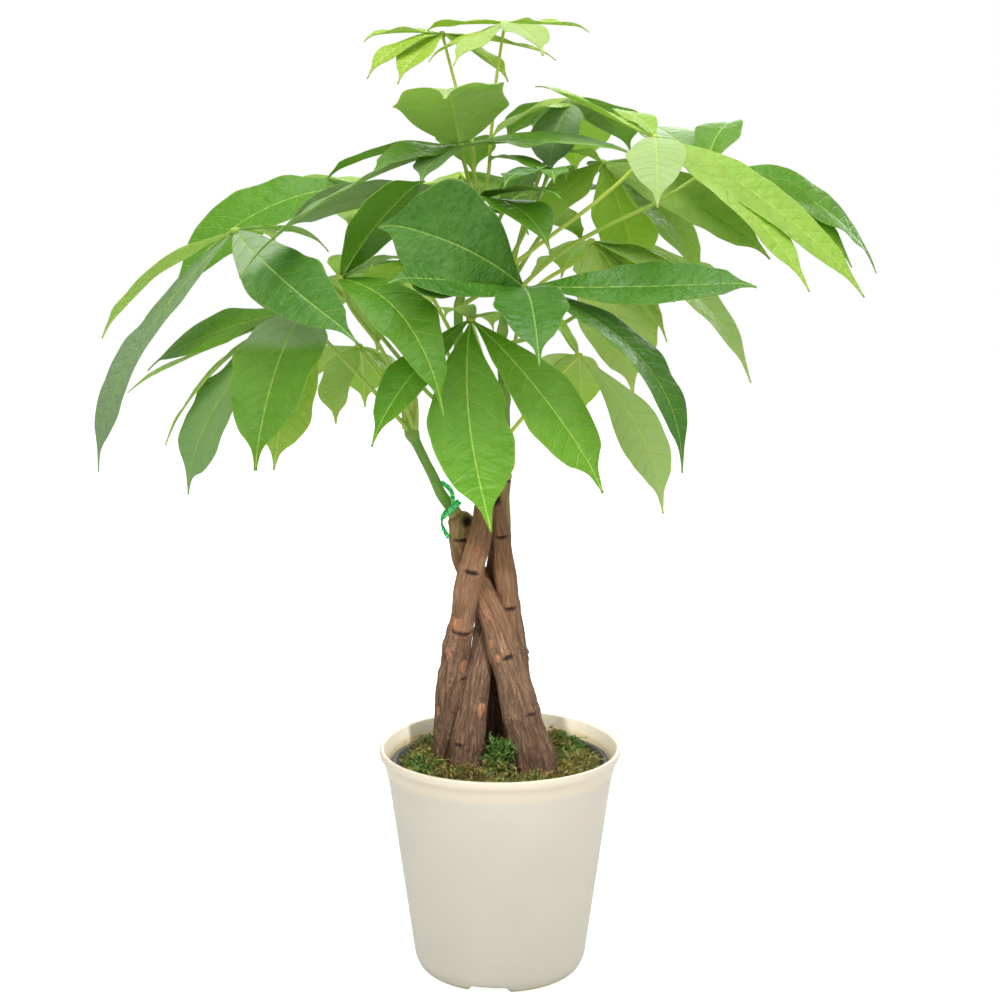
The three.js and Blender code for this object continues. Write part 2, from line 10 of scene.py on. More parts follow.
import bpy
import numpy as np
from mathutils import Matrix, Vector


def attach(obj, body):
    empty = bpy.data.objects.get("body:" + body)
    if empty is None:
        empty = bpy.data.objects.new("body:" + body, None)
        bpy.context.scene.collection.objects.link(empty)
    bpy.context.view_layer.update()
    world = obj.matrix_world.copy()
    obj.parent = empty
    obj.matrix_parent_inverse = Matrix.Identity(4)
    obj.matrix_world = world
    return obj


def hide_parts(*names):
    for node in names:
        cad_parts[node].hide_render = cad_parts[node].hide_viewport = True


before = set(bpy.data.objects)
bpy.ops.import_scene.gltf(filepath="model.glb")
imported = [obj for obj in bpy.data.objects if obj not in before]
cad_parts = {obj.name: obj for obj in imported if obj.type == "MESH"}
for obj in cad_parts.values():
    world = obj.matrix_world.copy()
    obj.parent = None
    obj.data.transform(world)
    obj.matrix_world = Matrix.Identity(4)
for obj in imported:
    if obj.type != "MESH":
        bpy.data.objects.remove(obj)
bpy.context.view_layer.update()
MM = 0.001

# %% [markdown]
# ## The camera
# The photograph looks slightly down on the tree from about a metre away. The tilt was read from the
# ellipse of the pot's rim, and the lens from how fast the pot's sides run together. A plain
# perspective camera without depth of field keeps every leaf sharp, as in the photograph.

# %% Place the camera
camera_place = (0, -1.098, 0.469)
camera_tilt = 81.63
camera_lens = 62.93

camera_data = bpy.data.cameras.new("camera")
camera_data.lens = camera_lens
camera_data.sensor_width = 36
camera_data.clip_end = 50
camera = bpy.data.objects.new("camera", camera_data)
camera.location = camera_place
camera.rotation_euler = (math.radians(camera_tilt), 0, 0)
bpy.context.scene.collection.objects.link(camera)
bpy.context.scene.camera = camera
print("camera lens", camera_lens, "mm, tilted", camera_tilt, "degrees")

# %% [markdown]
# ## Writing finishes as short steps
# Every surface of the plant needs a pattern: grain, veins, mottling. Nodes could be wired by hand
# one link at a time, but a small helper that turns each node into one short call keeps a recipe
# readable. A value that is the same all over is set on the shader itself.

# %% A helper for procedural finishes
def paint(red, green, blue):
    """A colour from 0 to 255, as a screen shows it, turned into the linear light that shaders use."""
    channels = [v / 255 for v in (red, green, blue)]
    return tuple(v / 12.92 if v <= 0.04045 else ((v + 0.055) / 1.055) ** 2.4 for v in channels) + (1,)


class Finish:
    """A material written step by step: each call adds one node and gives back its output."""

    def __init__(self, name, **plain):
        self.material = bpy.data.materials.new(name)
        self.material.use_nodes = True
        self.nodes = self.material.node_tree.nodes
        self.shader = self.nodes["Principled BSDF"]
        for socket, value in plain.items():
            self.shader.inputs[socket.replace("_", " ")].default_value = value

    def feed(self, socket, value):
        """Puts a number, a colour or another node's output into a socket."""
        if isinstance(value, bpy.types.NodeSocket):
            self.material.node_tree.links.new(value, socket)
        else:
            socket.default_value = value

    def colour(self, value):
        """Gives the surface its colour."""
        self.feed(self.shader.inputs["Base Color"], value)

    def marks(self, name):
        """The three numbers that a mesh keeps at each point under this name, as one vector."""
        source = self.nodes.new("ShaderNodeAttribute")
        source.attribute_name = name
        return source.outputs["Vector"]

    def split(self, vector):
        """The three numbers of a vector, one by one."""
        parts = self.nodes.new("ShaderNodeSeparateXYZ")
        self.feed(parts.inputs[0], vector)
        return parts.outputs[0], parts.outputs[1], parts.outputs[2]

    def calc(self, operation, *values):
        node = self.nodes.new("ShaderNodeMath")
        node.operation = operation
        for socket, value in zip(node.inputs, values):
            self.feed(socket, value)
        return node.outputs[0]

    def times(self, value, factor):
        return self.calc("MULTIPLY", value, factor)

    def fade(self, value, low, high, start=0.0, end=1.0):
        """Runs smoothly from start to end as the value goes from low to high."""
        node = self.nodes.new("ShaderNodeMapRange")
        node.interpolation_type = "SMOOTHSTEP"
        for socket, number in zip(node.inputs, (value, low, high, start, end)):
            self.feed(socket, number)
        return node.outputs[0]

    def stretch(self, vector, scale):
        node = self.nodes.new("ShaderNodeVectorMath")
        node.operation = "MULTIPLY"
        self.feed(node.inputs[0], vector)
        node.inputs[1].default_value = scale
        return node.outputs[0]

    def cloud(self, vector, scale, detail=3.0, rough=0.55):
        node = self.nodes.new("ShaderNodeTexNoise")
        node.inputs["Scale"].default_value = scale
        node.inputs["Detail"].default_value = detail
        node.inputs["Roughness"].default_value = rough
        self.feed(node.inputs["Vector"], vector)
        return node.outputs["Fac"]

    def grain(self, vector, scale, detail=3.0, rough=0.55):
        """Noise drawn out by its own amount along each axis, such as the grain of bark."""
        return self.cloud(self.stretch(vector, scale), 1.0, detail, rough)

    def cells(self, vector, scale):
        """Distance to the borders of irregular cells, as in the finest net of veins."""
        node = self.nodes.new("ShaderNodeTexVoronoi")
        node.feature = "DISTANCE_TO_EDGE"
        node.inputs["Scale"].default_value = scale
        self.feed(node.inputs["Vector"], vector)
        return node.outputs["Distance"]

    def blend(self, share, first, second):
        """The first colour where the share is 0, and the second where it is 1."""
        node = self.nodes.new("ShaderNodeMix")
        node.data_type = "RGBA"
        self.feed(node.inputs["Factor"], share)
        colours = [s for s in node.inputs if s.type == "RGBA"]
        self.feed(colours[0], first)
        self.feed(colours[1], second)
        return next(s for s in node.outputs if s.type == "RGBA")

    def shade(self, value, low, high, first, second):
        """Runs from the first colour to the second as the value goes from low to high."""
        return self.blend(self.fade(value, low, high), first, second)

    def relief(self, height, depth, strength=1.0):
        """Fine relief too small for the mesh, with its depth in metres."""
        node = self.nodes.new("ShaderNodeBump")
        node.inputs["Strength"].default_value = strength
        node.inputs["Distance"].default_value = depth
        self.feed(node.inputs["Height"], height)
        self.feed(self.shader.inputs["Normal"], node.outputs["Normal"])

    def place(self):
        """The point's own place in the object, in metres."""
        return self.nodes.new("ShaderNodeTexCoord").outputs["Object"]

    def let_light_through(self, colour, share):
        """Mixes in light that comes through from behind, as in a thin leaf."""
        through = self.nodes.new("ShaderNodeBsdfTranslucent")
        self.feed(through.inputs["Color"], colour)
        mixer = self.nodes.new("ShaderNodeMixShader")
        self.feed(mixer.inputs[0], share)
        self.feed(mixer.inputs[1], self.shader.outputs[0])
        self.feed(mixer.inputs[2], through.outputs[0])
        self.feed(self.nodes["Material Output"].inputs["Surface"], mixer.outputs[0])


print("finish helper ready")

# %% [markdown]
# ## The studio
# The tree stands on white paper in very even light, so that shadows are soft and all behind it is
# pure white. A bright world gives the even light, and a few large lamps give the leaves their soft
# grey sheen and the pot its roundness; on some leaflets more grey sheen is painted into the colour.
# Two narrow lamps cross under the crown and light the moss.
# World and floor are dimmer for the objects than for the camera, which keeps the colours deep
# against the white.

# %% Set up floor, world and lamps
world_for_camera = 1.0
world_for_objects = 0.62
paper_for_camera = 0.85
paper_for_objects = 0.12
floor_width = 9.0
floor_drop = 0.0004

scene = bpy.context.scene
scene.view_settings.view_transform = "Standard"
scene.view_settings.look = "None"

world = bpy.data.worlds.new("white_paper")
scene.world = world
world.use_nodes = True
backdrop = world.node_tree.nodes["Background"]
backdrop.inputs["Color"].default_value = (1, 1, 1, 1)


def glow_for_camera(tree, socket, for_objects, for_camera):
    """Makes a glow that the camera sees at one strength and the objects at another."""
    path = tree.nodes.new("ShaderNodeLightPath")
    dimmer = tree.nodes.new("ShaderNodeMapRange")
    dimmer.inputs["To Min"].default_value = for_objects
    dimmer.inputs["To Max"].default_value = for_camera
    tree.links.new(path.outputs["Is Camera Ray"], dimmer.inputs["Value"])
    tree.links.new(dimmer.outputs[0], socket)


glow_for_camera(world.node_tree, backdrop.inputs["Strength"], world_for_objects, world_for_camera)

floor_mesh = bpy.data.meshes.new("floor")
half = floor_width / 2
floor_corners = [(-half, -half, 0), (half, -half, 0), (half, half, 0), (-half, half, 0)]
floor_mesh.from_pydata(floor_corners, [], [(0, 1, 2, 3)])
floor = bpy.data.objects.new("floor", floor_mesh)
floor.location.z = -floor_drop
scene.collection.objects.link(floor)
paper = Finish("paper", Roughness=0.9, Base_Color=(0.6, 0.6, 0.6, 1), Specular_IOR_Level=0.1)
paper.shader.inputs["Emission Color"].default_value = (1, 1, 1, 1)
paper_glow = paper.shader.inputs["Emission Strength"]
glow_for_camera(paper.material.node_tree, paper_glow, paper_for_objects, paper_for_camera)
floor_mesh.materials.append(paper.material)


def hang(name, data, place, aim):
    """Hangs a lamp at one place and turns it to another, in metres."""
    holder = bpy.data.objects.new(name, data)
    holder.location = place
    holder.rotation_euler = (Vector(aim) - Vector(place)).to_track_quat("-Z", "Y").to_euler()
    scene.collection.objects.link(holder)


def lamp(name, place, aim, size, watts, colour=(1, 1, 1)):
    """A large, square, soft lamp."""
    data = bpy.data.lights.new(name, "AREA")
    data.shape = "SQUARE"
    data.size = size
    data.energy = watts
    data.color = colour
    hang(name, data, place, aim)


def beam(name, place, aim, degrees, size, watts):
    """A narrow lamp whose light fades towards its edge."""
    data = bpy.data.lights.new(name, "SPOT")
    data.energy = watts
    data.spot_size = math.radians(degrees)
    data.spot_blend = 1.0
    data.shadow_soft_size = size
    hang(name, data, place, aim)


lamp("key_left", (-1.2, -1.3, 1.8), (0, 0, 0.35), 1.0, 15)
lamp("fill_right", (1.4, -1.3, 1.5), (0, 0, 0.3), 1.1, 9)
lamp("over", (0.2, -0.1, 2.1), (0, 0, 0.4), 1.2, 24)
lamp("behind", (0.5, 1.7, 1.1), (0, 0, 0.45), 1.2, 24, (1, 1, 0.94))
lamp("front", (0.1, -1.8, 1.5), (0, 0, 0.12), 0.8, 3.5)
beam("into_pot_left", (-0.45, -1.2, 1.15), (0.038, 0.045, 0.147), 5, 0.06, 127)
beam("into_pot_right", (0.45, -1.2, 1.15), (-0.038, 0.045, 0.147), 5, 0.06, 183)

# %% [markdown]
# ## Points, faces and pieces
# Bark, blades and moss all need tens of thousands of points placed by a formula. Modifiers and
# sculpting could give such forms, but arrays of points are exact, quick and the same at each run.
# A form gathers grids of points with their faces, and each point may carry three numbers, called
# marks here, which tell a finish where it is on the leaf or trunk.

# %% Helpers that gather points into one piece
def grid_faces(rows, columns, closed=False, flip=False):
    """Four-sided faces over a grid of points that is kept row by row."""
    row, column = np.meshgrid(np.arange(rows - 1), np.arange(columns - (not closed)), indexing="ij")
    beside = (column + 1) % columns
    corners = [row * columns + column, row * columns + beside, (row + 1) * columns + beside]
    corners.append((row + 1) * columns + column)
    faces = np.stack(corners, -1).reshape(-1, 4)
    return faces[:, ::-1] if flip else faces


class Form:
    """Points, faces and marks of one piece, gathered bit by bit, in millimetres."""

    def __init__(self):
        self.points = []
        self.faces = []
        self.finish_of_face = []
        self.marks = {}
        self.count = 0

    def add(self, points, face_sets, finish=0, **marks):
        points = np.asarray(points, float).reshape(-1, 3)
        for name in set(marks) | set(self.marks):
            rows = self.marks.setdefault(name, [np.zeros((self.count, 3))])
            given = np.asarray(marks.get(name, np.zeros(3)), float)
            rows.append(np.broadcast_to(given.reshape(-1, 3), (len(points), 3)))
        for faces in face_sets:
            faces = (np.asarray(faces) + self.count).tolist()
            self.faces += faces
            self.finish_of_face += [finish] * len(faces)
        self.points.append(points)
        self.count += len(points)


def make_piece(form, name, slot, finishes, *nodes):
    """Turns a form into a named piece of the tree, which stands for the given measured nodes."""
    mesh = bpy.data.meshes.new(name)
    mesh.from_pydata((np.concatenate(form.points) * MM).tolist(), [], form.faces)
    for finish in finishes:
        mesh.materials.append(finish.material)
    mesh.polygons.foreach_set("material_index", form.finish_of_face)
    mesh.polygons.foreach_set("use_smooth", [True] * len(form.faces))
    for name_of_mark, rows in form.marks.items():
        layer = mesh.attributes.new(name_of_mark, "FLOAT_VECTOR", "POINT")
        layer.data.foreach_set("vector", np.concatenate(rows).ravel())
    mesh.update()
    piece = bpy.data.objects.new(name, mesh)
    scene.collection.objects.link(piece)
    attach(piece, "root")
    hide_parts(*nodes)


def ruffle(points, seed=0):
    """Smooth noise from -1 to 1 at many points at once, with one swell per unit of length."""
    points = np.asarray(points, float)
    cell = np.floor(points).astype(np.int64)
    part = points - cell
    part = part * part * (3 - 2 * part)
    total = np.zeros(points.shape[:-1])
    for corner in range(8):
        offset = np.array([corner & 1, corner >> 1 & 1, corner >> 2 & 1])
        key = (cell + offset) @ np.array([73856093, 19349663, 83492791]) + seed * 7919
        key = (key ^ (key >> 13)) * 1274126177
        height = ((key ^ (key >> 16)) & 0xFFFF) / 32767.5 - 1
        total += height * np.prod(np.where(offset, part, 1 - part), axis=-1)
    return total


print("ruffle at one point", round(float(ruffle([[0.3, 0.7, 0.1]])[0]), 3))

# %% [markdown]
# ## Curves for everything that grows
# Trunks, shoots and stalks are round and bend softly, so each is a list of stations along its
# middle with a radius at each. Blender's own curves with a bevel could draw them, but a grid of
# points round a curve can also carry bark, scars and swellings. The curve runs through every
# station, and its points are then spread evenly along it.

# %% Helpers that sweep a tube along stations
def join_smoothly(first, second, slope_in, slope_out, share):
    """The cubic that leaves the first point on one slope and reaches the second on the other."""
    square = share * share
    cube = square * share
    start = (2 * cube - 3 * square + 1) * first + (cube - 2 * square + share) * slope_in
    return start + (3 * square - 2 * cube) * second + (cube - square) * slope_out


def curve_through(stations, shares):
    """Points on the curve through the stations. A share of 0 is its start, and 1 is its end."""
    middle = np.array([s[:3] for s in stations], float)
    padded = np.vstack([2 * middle[0] - middle[1], middle, 2 * middle[-1] - middle[-2]])
    pace = np.linalg.norm(np.diff(padded, axis=0), axis=1) ** 0.5
    span = np.minimum((shares * (len(middle) - 1)).astype(int), len(middle) - 2)
    share = (shares * (len(middle) - 1) - span)[:, None]
    before, first, second, after = (padded[span + k] for k in range(4))
    d0, d1, d2 = (pace[span + k][:, None] for k in range(3))
    slope_in = ((first - before) / d0 - (second - before) / (d0 + d1) + (second - first) / d1) * d1
    slope_out = ((second - first) / d1 - (after - first) / (d1 + d2) + (after - second) / d2) * d1
    return join_smoothly(first, second, slope_in, slope_out, share)


def radius_through(stations, shares):
    """The radius in the same way, from the fourth number of each station."""
    radii = np.array([s[3] for s in stations], float)
    padded = np.concatenate([radii[:1], radii, radii[-1:]])
    span = np.minimum((shares * (len(radii) - 1)).astype(int), len(radii) - 2)
    share = shares * (len(radii) - 1) - span
    before, first, second, after = (padded[span + k] for k in range(4))
    return join_smoothly(first, second, (second - before) / 2, (after - first) / 2, share)


def even_shares(stations, step):
    """Shares that lie a step apart along the curve, and the length reached at each."""
    fine = np.linspace(0, 1, 600)
    steps = np.linalg.norm(np.diff(curve_through(stations, fine), axis=0), axis=1)
    reach = np.concatenate([[0], np.cumsum(steps)])
    lengths = np.linspace(0, reach[-1], max(6, round(reach[-1] / step) + 1))
    return np.interp(lengths, reach, fine), lengths


def directions(points, front):
    """The way along the curve at each point, and two ways square to it that turn as little as they can."""
    along = np.gradient(points, axis=0)
    along /= np.linalg.norm(along, axis=1)[:, None]
    facing = np.empty_like(points)
    now = np.asarray(front, float)
    for i, way in enumerate(along):
        now = now - way * (now @ way)
        now /= np.linalg.norm(now)
        facing[i] = now
    return along, facing, np.cross(along, facing)


def tube(points, radii, sides, front=(0, -1, 0)):
    """Rings of points round a curve. The first point of each ring looks to the front."""
    along, facing, beside = directions(points, front)
    turn = np.arange(sides) / sides * 2 * math.pi
    ring = facing[:, None] * np.cos(turn)[:, None] + beside[:, None] * np.sin(turn)[:, None]
    radii = np.broadcast_to(np.asarray(radii, float).reshape(len(points), -1), (len(points), sides))
    return points[:, None] + ring * radii[..., None]


def tube_faces(rows, sides):
    """The faces of such rings, with both ends closed."""
    first = [list(range(sides))[::-1]]
    last = [[(rows - 1) * sides + i for i in range(sides)]]
    return [grid_faces(rows, sides, closed=True), first, last]


def rounded_ends(length, lengths, foot=0.0, top=1.0):
    """A factor that draws the radius in over the last stretch at either end, as a dome does."""
    low = np.clip(lengths / max(foot, 1e-6), 0, 1)
    high = np.clip((length - lengths) / max(top, 1e-6), 0, 1)
    return np.maximum(np.sqrt(1 - (1 - low) ** 2) * np.sqrt(1 - (1 - high) ** 2), 0.02)


test_curve = [[0, 0, 0, 1], [0, 0, 20, 1], [0, 0, 40, 1]]
print("a 40 mm test curve has", len(even_shares(test_curve, 2)[0]), "rings")

# %% [markdown]
# ## The cream pot
# The outer pot is moulded in cream plastic: a tapered wall with a shallow collar under a rolled lip,
# and a rounded foot with low arches in its ring. It is turned, so its profile is a short list of
# corners, each rounded by an arc. A screw modifier could turn the profile, but turning the points
# here lets the arches lift the foot ring in the same step.

# %% Turn the outer pot
pot_height = 146
rim_radius = 78
foot_radius = 53.3
lip_height = 7
pot_wall = 2.2
collar_height = 12
collar_proud = 0.7
rim_rise = 3
wall_foot_radius = 54.6
wall_top_radius = 74
pot_sides = 224
notch_count = 3
notch_angle = -98
notch_height = 5
notch_flat = 21
notch_slope = 5
pot_floor_under = 5
floor_top = 8
rise_from = 100


def wall_radius(height):
    return wall_foot_radius + (wall_top_radius - wall_foot_radius) * height / (pot_height - lip_height)


def round_corners(corners, steps=5):
    """A profile of [radius, height, rounding] corners with an arc-like bend at each."""
    rounded = []
    for i, (radius, height, rounding) in enumerate(corners):
        here = np.array([radius, height], float)
        if i in (0, len(corners) - 1) or not rounding:
            rounded.append(here)
            continue
        before = np.array(corners[i - 1][:2], float) - here
        after = np.array(corners[i + 1][:2], float) - here
        start = here + before / np.linalg.norm(before) * min(rounding, np.linalg.norm(before) * 0.48)
        end = here + after / np.linalg.norm(after) * min(rounding, np.linalg.norm(after) * 0.48)
        for share in np.linspace(0, 1, steps):
            rounded.append((1 - share) ** 2 * start + 2 * share * (1 - share) * here + share * share * end)
    return np.array(rounded)


def turned(profile, sides):
    """Points of a profile turned about the upright axis, and the angle of each column."""
    angles = np.arange(sides) / sides * 2 * math.pi
    rings = np.empty((len(profile), sides, 3))
    rings[..., 0] = profile[:, :1] * np.cos(angles)
    rings[..., 1] = profile[:, :1] * np.sin(angles)
    rings[..., 2] = profile[:, 1:]
    return rings, angles


def long_spans_split(profile, longest):
    """The same profile with points added where two lie further apart than the longest step."""
    split = [profile[0]]
    for first, second in zip(profile[:-1], profile[1:]):
        pieces = max(1, math.ceil(np.linalg.norm(second - first) / longest))
        split += [first + (second - first) * (k + 1) / pieces for k in range(pieces)]
    return np.array(split)


lip_under = pot_height - lip_height
collar_foot = lip_under - collar_height
pot_corners = [
    (1, pot_floor_under, 0), (foot_radius - 9, pot_floor_under, 1), (foot_radius - 7.5, 0, 1),
    (foot_radius - 3.2, 0, 2.2), (foot_radius - 0.4, 2.2, 2), (wall_radius(7.5), 7.5, 3),
    (wall_radius(collar_foot - 3), collar_foot - 3, 2),
    (wall_radius(collar_foot + 4) + collar_proud, collar_foot + 4, 4),
    (wall_radius(lip_under) + 2 * collar_proud, lip_under - 1, 4),
    (rim_radius, pot_height - 4.5, 3), (rim_radius, pot_height, 1.2), (rim_radius - 2.6, pot_height, 1.2),
    (wall_radius(lip_under) - pot_wall, lip_under - 1, 2), (wall_radius(11) - pot_wall, 11, 3),
    (wall_radius(floor_top) - pot_wall - 2, floor_top, 1), (1, floor_top, 0),
]
pot_profile = long_spans_split(round_corners(pot_corners), 6)
pot_rings, pot_angles = turned(pot_profile, pot_sides)

arch = np.zeros(pot_sides)
for k in range(notch_count):
    away = np.angle(np.exp(1j * (pot_angles - math.radians(notch_angle + k * 360 / notch_count))))
    reach = np.abs(away) * foot_radius
    side = np.clip((notch_flat / 2 + notch_slope - reach) / notch_slope, 0, 1)
    arch = np.maximum(arch, notch_height * side)
arch = np.sin(np.clip(arch / notch_height, 0, 1) * math.pi / 2) ** 2 * notch_height
near_rim = np.clip((pot_rings[..., 2] - rise_from) / (pot_height - rise_from), 0, 1)
pot_rings[..., 2] += rim_rise * (0.5 + 0.5 * np.sin(pot_angles)) ** 2 * near_rim**2
foot_ring = pot_rings[..., 2] < notch_height
pot_rings[..., 2] = np.where(foot_ring, np.maximum(pot_rings[..., 2], arch), pot_rings[..., 2])

pot_form = Form()
pot_form.add(pot_rings, tube_faces(len(pot_profile), pot_sides))
print("pot profile has", len(pot_profile), "points, and the pot has", len(pot_form.faces), "faces")

# %% [markdown]
# The plastic is a warm cream with a faint mottle and a few tan flecks. Its lip is painted paler
# than the wall, as painted light, and the inside is painted brighter and warmer, as painted bounce
# light; more light also shines through the thin wall there.
# A point is inside where it lies nearer to the axis than a cone between the two skins does.

# %% Mix the cream plastic
wall_cream = (paint(220, 213, 197), paint(214, 209, 192))
# Painted light: the lip band is painted paler than the wall.
lip_painted_light = paint(229, 218, 196)
# Painted bounce light: the inside of the pot is painted brighter and warmer.
inside_painted_light = paint(255, 240, 200)
fleck_tan = paint(196, 180, 150)
lip_light_starts = (0.129, 0.134)
cone_slope = 0.14
cone_foot = (0.0524, 0.0532)

cream = Finish("cream_plastic", Roughness=0.42, Specular_IOR_Level=0.42)
cream_colour = cream.shade(cream.cloud(cream.place(), 14, 2), 0.35, 0.7, *wall_cream)
across_pot, back_in_pot, up_the_pot = cream.split(cream.place())
# Painted light on the lip, from these heights up.
cream_colour = cream.shade(up_the_pot, *lip_light_starts, cream_colour, lip_painted_light)
squares = [cream.calc("POWER", way, 2) for way in (across_pot, back_in_pot)]
from_axis = cream.calc("SQRT", cream.calc("ADD", *squares))
from_cone = cream.calc("SUBTRACT", from_axis, cream.times(up_the_pot, cone_slope))
inside = cream.fade(from_cone, *cone_foot, 1.0, 0.0)
# Painted bounce light on the inside of the pot.
cream_colour = cream.blend(inside, cream_colour, inside_painted_light)
flecks = cream.fade(cream.cloud(cream.place(), 420, 1), 0.76, 0.82)
cream_colour = cream.blend(cream.times(flecks, 0.12), cream_colour, fleck_tan)
cream.colour(cream_colour)
cream.relief(cream.cloud(cream.place(), 900, 2), 0.00012, 0.5)
cream.let_light_through(cream_colour, cream.calc("MULTIPLY_ADD", inside, 0.4, 0.06))

make_piece(pot_form, "cream_pot", "pot", [cream], "outer_pot")
print("cream mixed with", len(cream.nodes), "nodes")

# %% [markdown]
# ## The grower's pot and the soil
# Inside the cream pot stands the thin dark pot that the tree was grown in. Only its rim shows, as a
# dark grey line beside the moss, but it is a whole pot on the real plant, so it is turned whole. The
# soil fills it and shows as dark crumbs in the gaps of the moss. A grid lifted by noise is enough.

# %% Turn the grower's pot
seat = 0.3
nursery_height = 130
nursery_top_radius = 70
nursery_foot_radius = 47
nursery_wall = 1.4
nursery_rim = 1.5
nursery_sides = 128


def nursery_radius(height):
    flare = (nursery_top_radius - nursery_foot_radius) / nursery_height
    return nursery_foot_radius + flare * (height - floor_top)


nursery_foot = floor_top + seat
nursery_top = floor_top + nursery_height
nursery_step = nursery_rim + nursery_wall
nursery_corners = [
    (1, nursery_foot, 0), (nursery_foot_radius, nursery_foot, 2),
    (nursery_radius(nursery_top - 4) - nursery_rim, nursery_top - 4, 1),
    (nursery_top_radius, nursery_top - 3.5, 0.6), (nursery_top_radius, nursery_top, 0.6),
    (nursery_top_radius - nursery_step, nursery_top, 0.6),
    (nursery_radius(nursery_top - 5) - nursery_step, nursery_top - 5, 1),
    (nursery_foot_radius - nursery_wall, nursery_foot + nursery_wall, 1), (1, nursery_foot + nursery_wall, 0),
]
nursery_profile = round_corners(nursery_corners)
nursery_rings, _ = turned(nursery_profile, nursery_sides)
grey = Finish("grey_plastic", Roughness=0.75, Base_Color=paint(74, 72, 71))
grey.relief(grey.cloud(grey.place(), 700, 2), 0.0002, 0.6)
nursery_form = Form()
nursery_form.add(nursery_rings, tube_faces(len(nursery_profile), nursery_sides))
make_piece(nursery_form, "growers_pot", "nursery", [grey], "nursery_pot")
print("grower's pot has", len(nursery_form.faces), "faces")

# %% Lay the soil
soil_level = 126
soil_foot = 12
soil_sides = 120
soil_gap = 1
soil_browns = (paint(34, 25, 19), paint(84, 64, 48))

soil_reach = nursery_radius(soil_level) - nursery_step - seat - soil_gap
soil_side = [(1, soil_foot), (40, soil_foot), (soil_reach - 3, soil_level - 8), (soil_reach, soil_level)]
soil_top = [(radius, soil_level) for radius in np.linspace(soil_reach - 1.5, 1, 40)]
soil_rings, _ = turned(np.array(soil_side + soil_top, float), soil_sides)
crumbs = 1.1 * ruffle(soil_rings / 2.6, 3) + 0.8 * ruffle(soil_rings / 6, 4) - 0.6
soil_rings[len(soil_side):, :, 2] += crumbs[len(soil_side):]
soil_finish = Finish("potting_soil", Roughness=0.95, Specular_IOR_Level=0.2)
crumb = soil_finish.cloud(soil_finish.place(), 380, 4)
soil_finish.colour(soil_finish.shade(crumb, 0.3, 0.75, *soil_browns))
soil_finish.relief(crumb, 0.0008)
soil_form = Form()
soil_form.add(soil_rings, tube_faces(len(soil_rings), soil_sides))
make_piece(soil_form, "potting_soil", "soil", [soil_finish], "soil")
print("soil has", len(soil_form.faces), "faces")

# %% [markdown]
# ## Bark
# The trunks are grey-brown, with fine upright wrinkles low down and smoother, redder bark near the
# cut tops, two of which are still olive. Old leaf scars leave slits with a raised lip, and rubbed
# places show tan wood. Painted shade darkens the wrinkles, the fissures and the slits. The wrinkles
# follow each trunk as it leans, so they can't be a pattern in space: each point keeps its place in
# the straightened trunk as a mark, and the finish reads that.

# %% Mix the bark
low_bark = (paint(90, 66, 47), paint(154, 121, 92))
high_bark = (paint(142, 98, 66), paint(190, 144, 106))
rubbed_wood = (paint(142, 92, 62), paint(182, 134, 98))
olive_bark = (paint(166, 140, 80), paint(222, 198, 138))
cut_face = (paint(70, 44, 32), paint(120, 84, 60))
pale_patch = paint(146, 118, 94)
dark_patch = paint(96, 74, 62)
# Painted shade colours for the fissures, the wrinkle valleys and the scar slits.
fissure_painted_shade = paint(78, 58, 46)
wrinkle_painted_shade = paint(76, 56, 44)
slit_painted_shade = paint(38, 27, 23)

bark = Finish("bark", Roughness=0.82, Specular_IOR_Level=0.25)
wrinkle, slit, rubbed = bark.split(bark.marks("bark_lines"))
age, cut_wood, green_top = bark.split(bark.marks("bark_age"))
straightened = bark.marks("grain")
streaks = bark.grain(straightened, (0.5, 0.5, 0.06), 4)
patches = bark.grain(straightened, (0.07, 0.07, 0.035))
threads = bark.grain(straightened, (1.3, 1.3, 0.24), 4, 0.65)
fissures = bark.fade(bark.calc("PINGPONG", threads, 0.5), 0.45, 0.49)
bark_low = bark.shade(streaks, 0.32, 0.68, *low_bark)
bark_high = bark.shade(streaks, 0.3, 0.75, *high_bark)
bark_colour = bark.shade(age, 0.35, 0.95, bark_low, bark_high)
bark_colour = bark.blend(bark.times(bark.fade(patches, 0.45, 0.75), 0.55), bark_colour, pale_patch)
bark_colour = bark.blend(bark.times(bark.fade(patches, 0.5, 0.25), 0.45), bark_colour, dark_patch)
# Painted shade in the fissures, fading out towards the top.
fissure_share = bark.times(fissures, bark.fade(age, 0.1, 0.7, 0.72, 0.3))
bark_colour = bark.blend(fissure_share, bark_colour, fissure_painted_shade)
# Painted shade in the wrinkle valleys.
bark_colour = bark.blend(bark.times(wrinkle, 0.66), bark_colour, wrinkle_painted_shade)
bark_colour = bark.blend(rubbed, bark_colour, bark.shade(threads, 0.35, 0.65, *rubbed_wood))
bark_colour = bark.blend(green_top, bark_colour, bark.shade(streaks, 0.3, 0.7, *olive_bark))
bark_colour = bark.blend(cut_wood, bark_colour, bark.shade(threads, 0.35, 0.6, *cut_face))
# Painted shade in the hollow of each slit.
bark_colour = bark.blend(slit, bark_colour, slit_painted_shade)
bark.colour(bark_colour)
carved = bark.calc("ADD", bark.times(wrinkle, 0.6), bark.times(fissures, 0.35))
bark.relief(bark.calc("SUBTRACT", threads, carved), 0.001)
print("bark mixed with", len(bark.nodes), "nodes")

# %% [markdown]
# ## The braided trunks
# Each trunk is a seedling of its own, planted in a ring and plaited with the others while young.
# They are built one by one from stations that follow the measured model, so that they press on each
# other where the real ones do. The wrinkles are real relief: narrow valleys where a stretched noise
# passes through zero. Scars and rubbed places are listed by trunk, height and side.

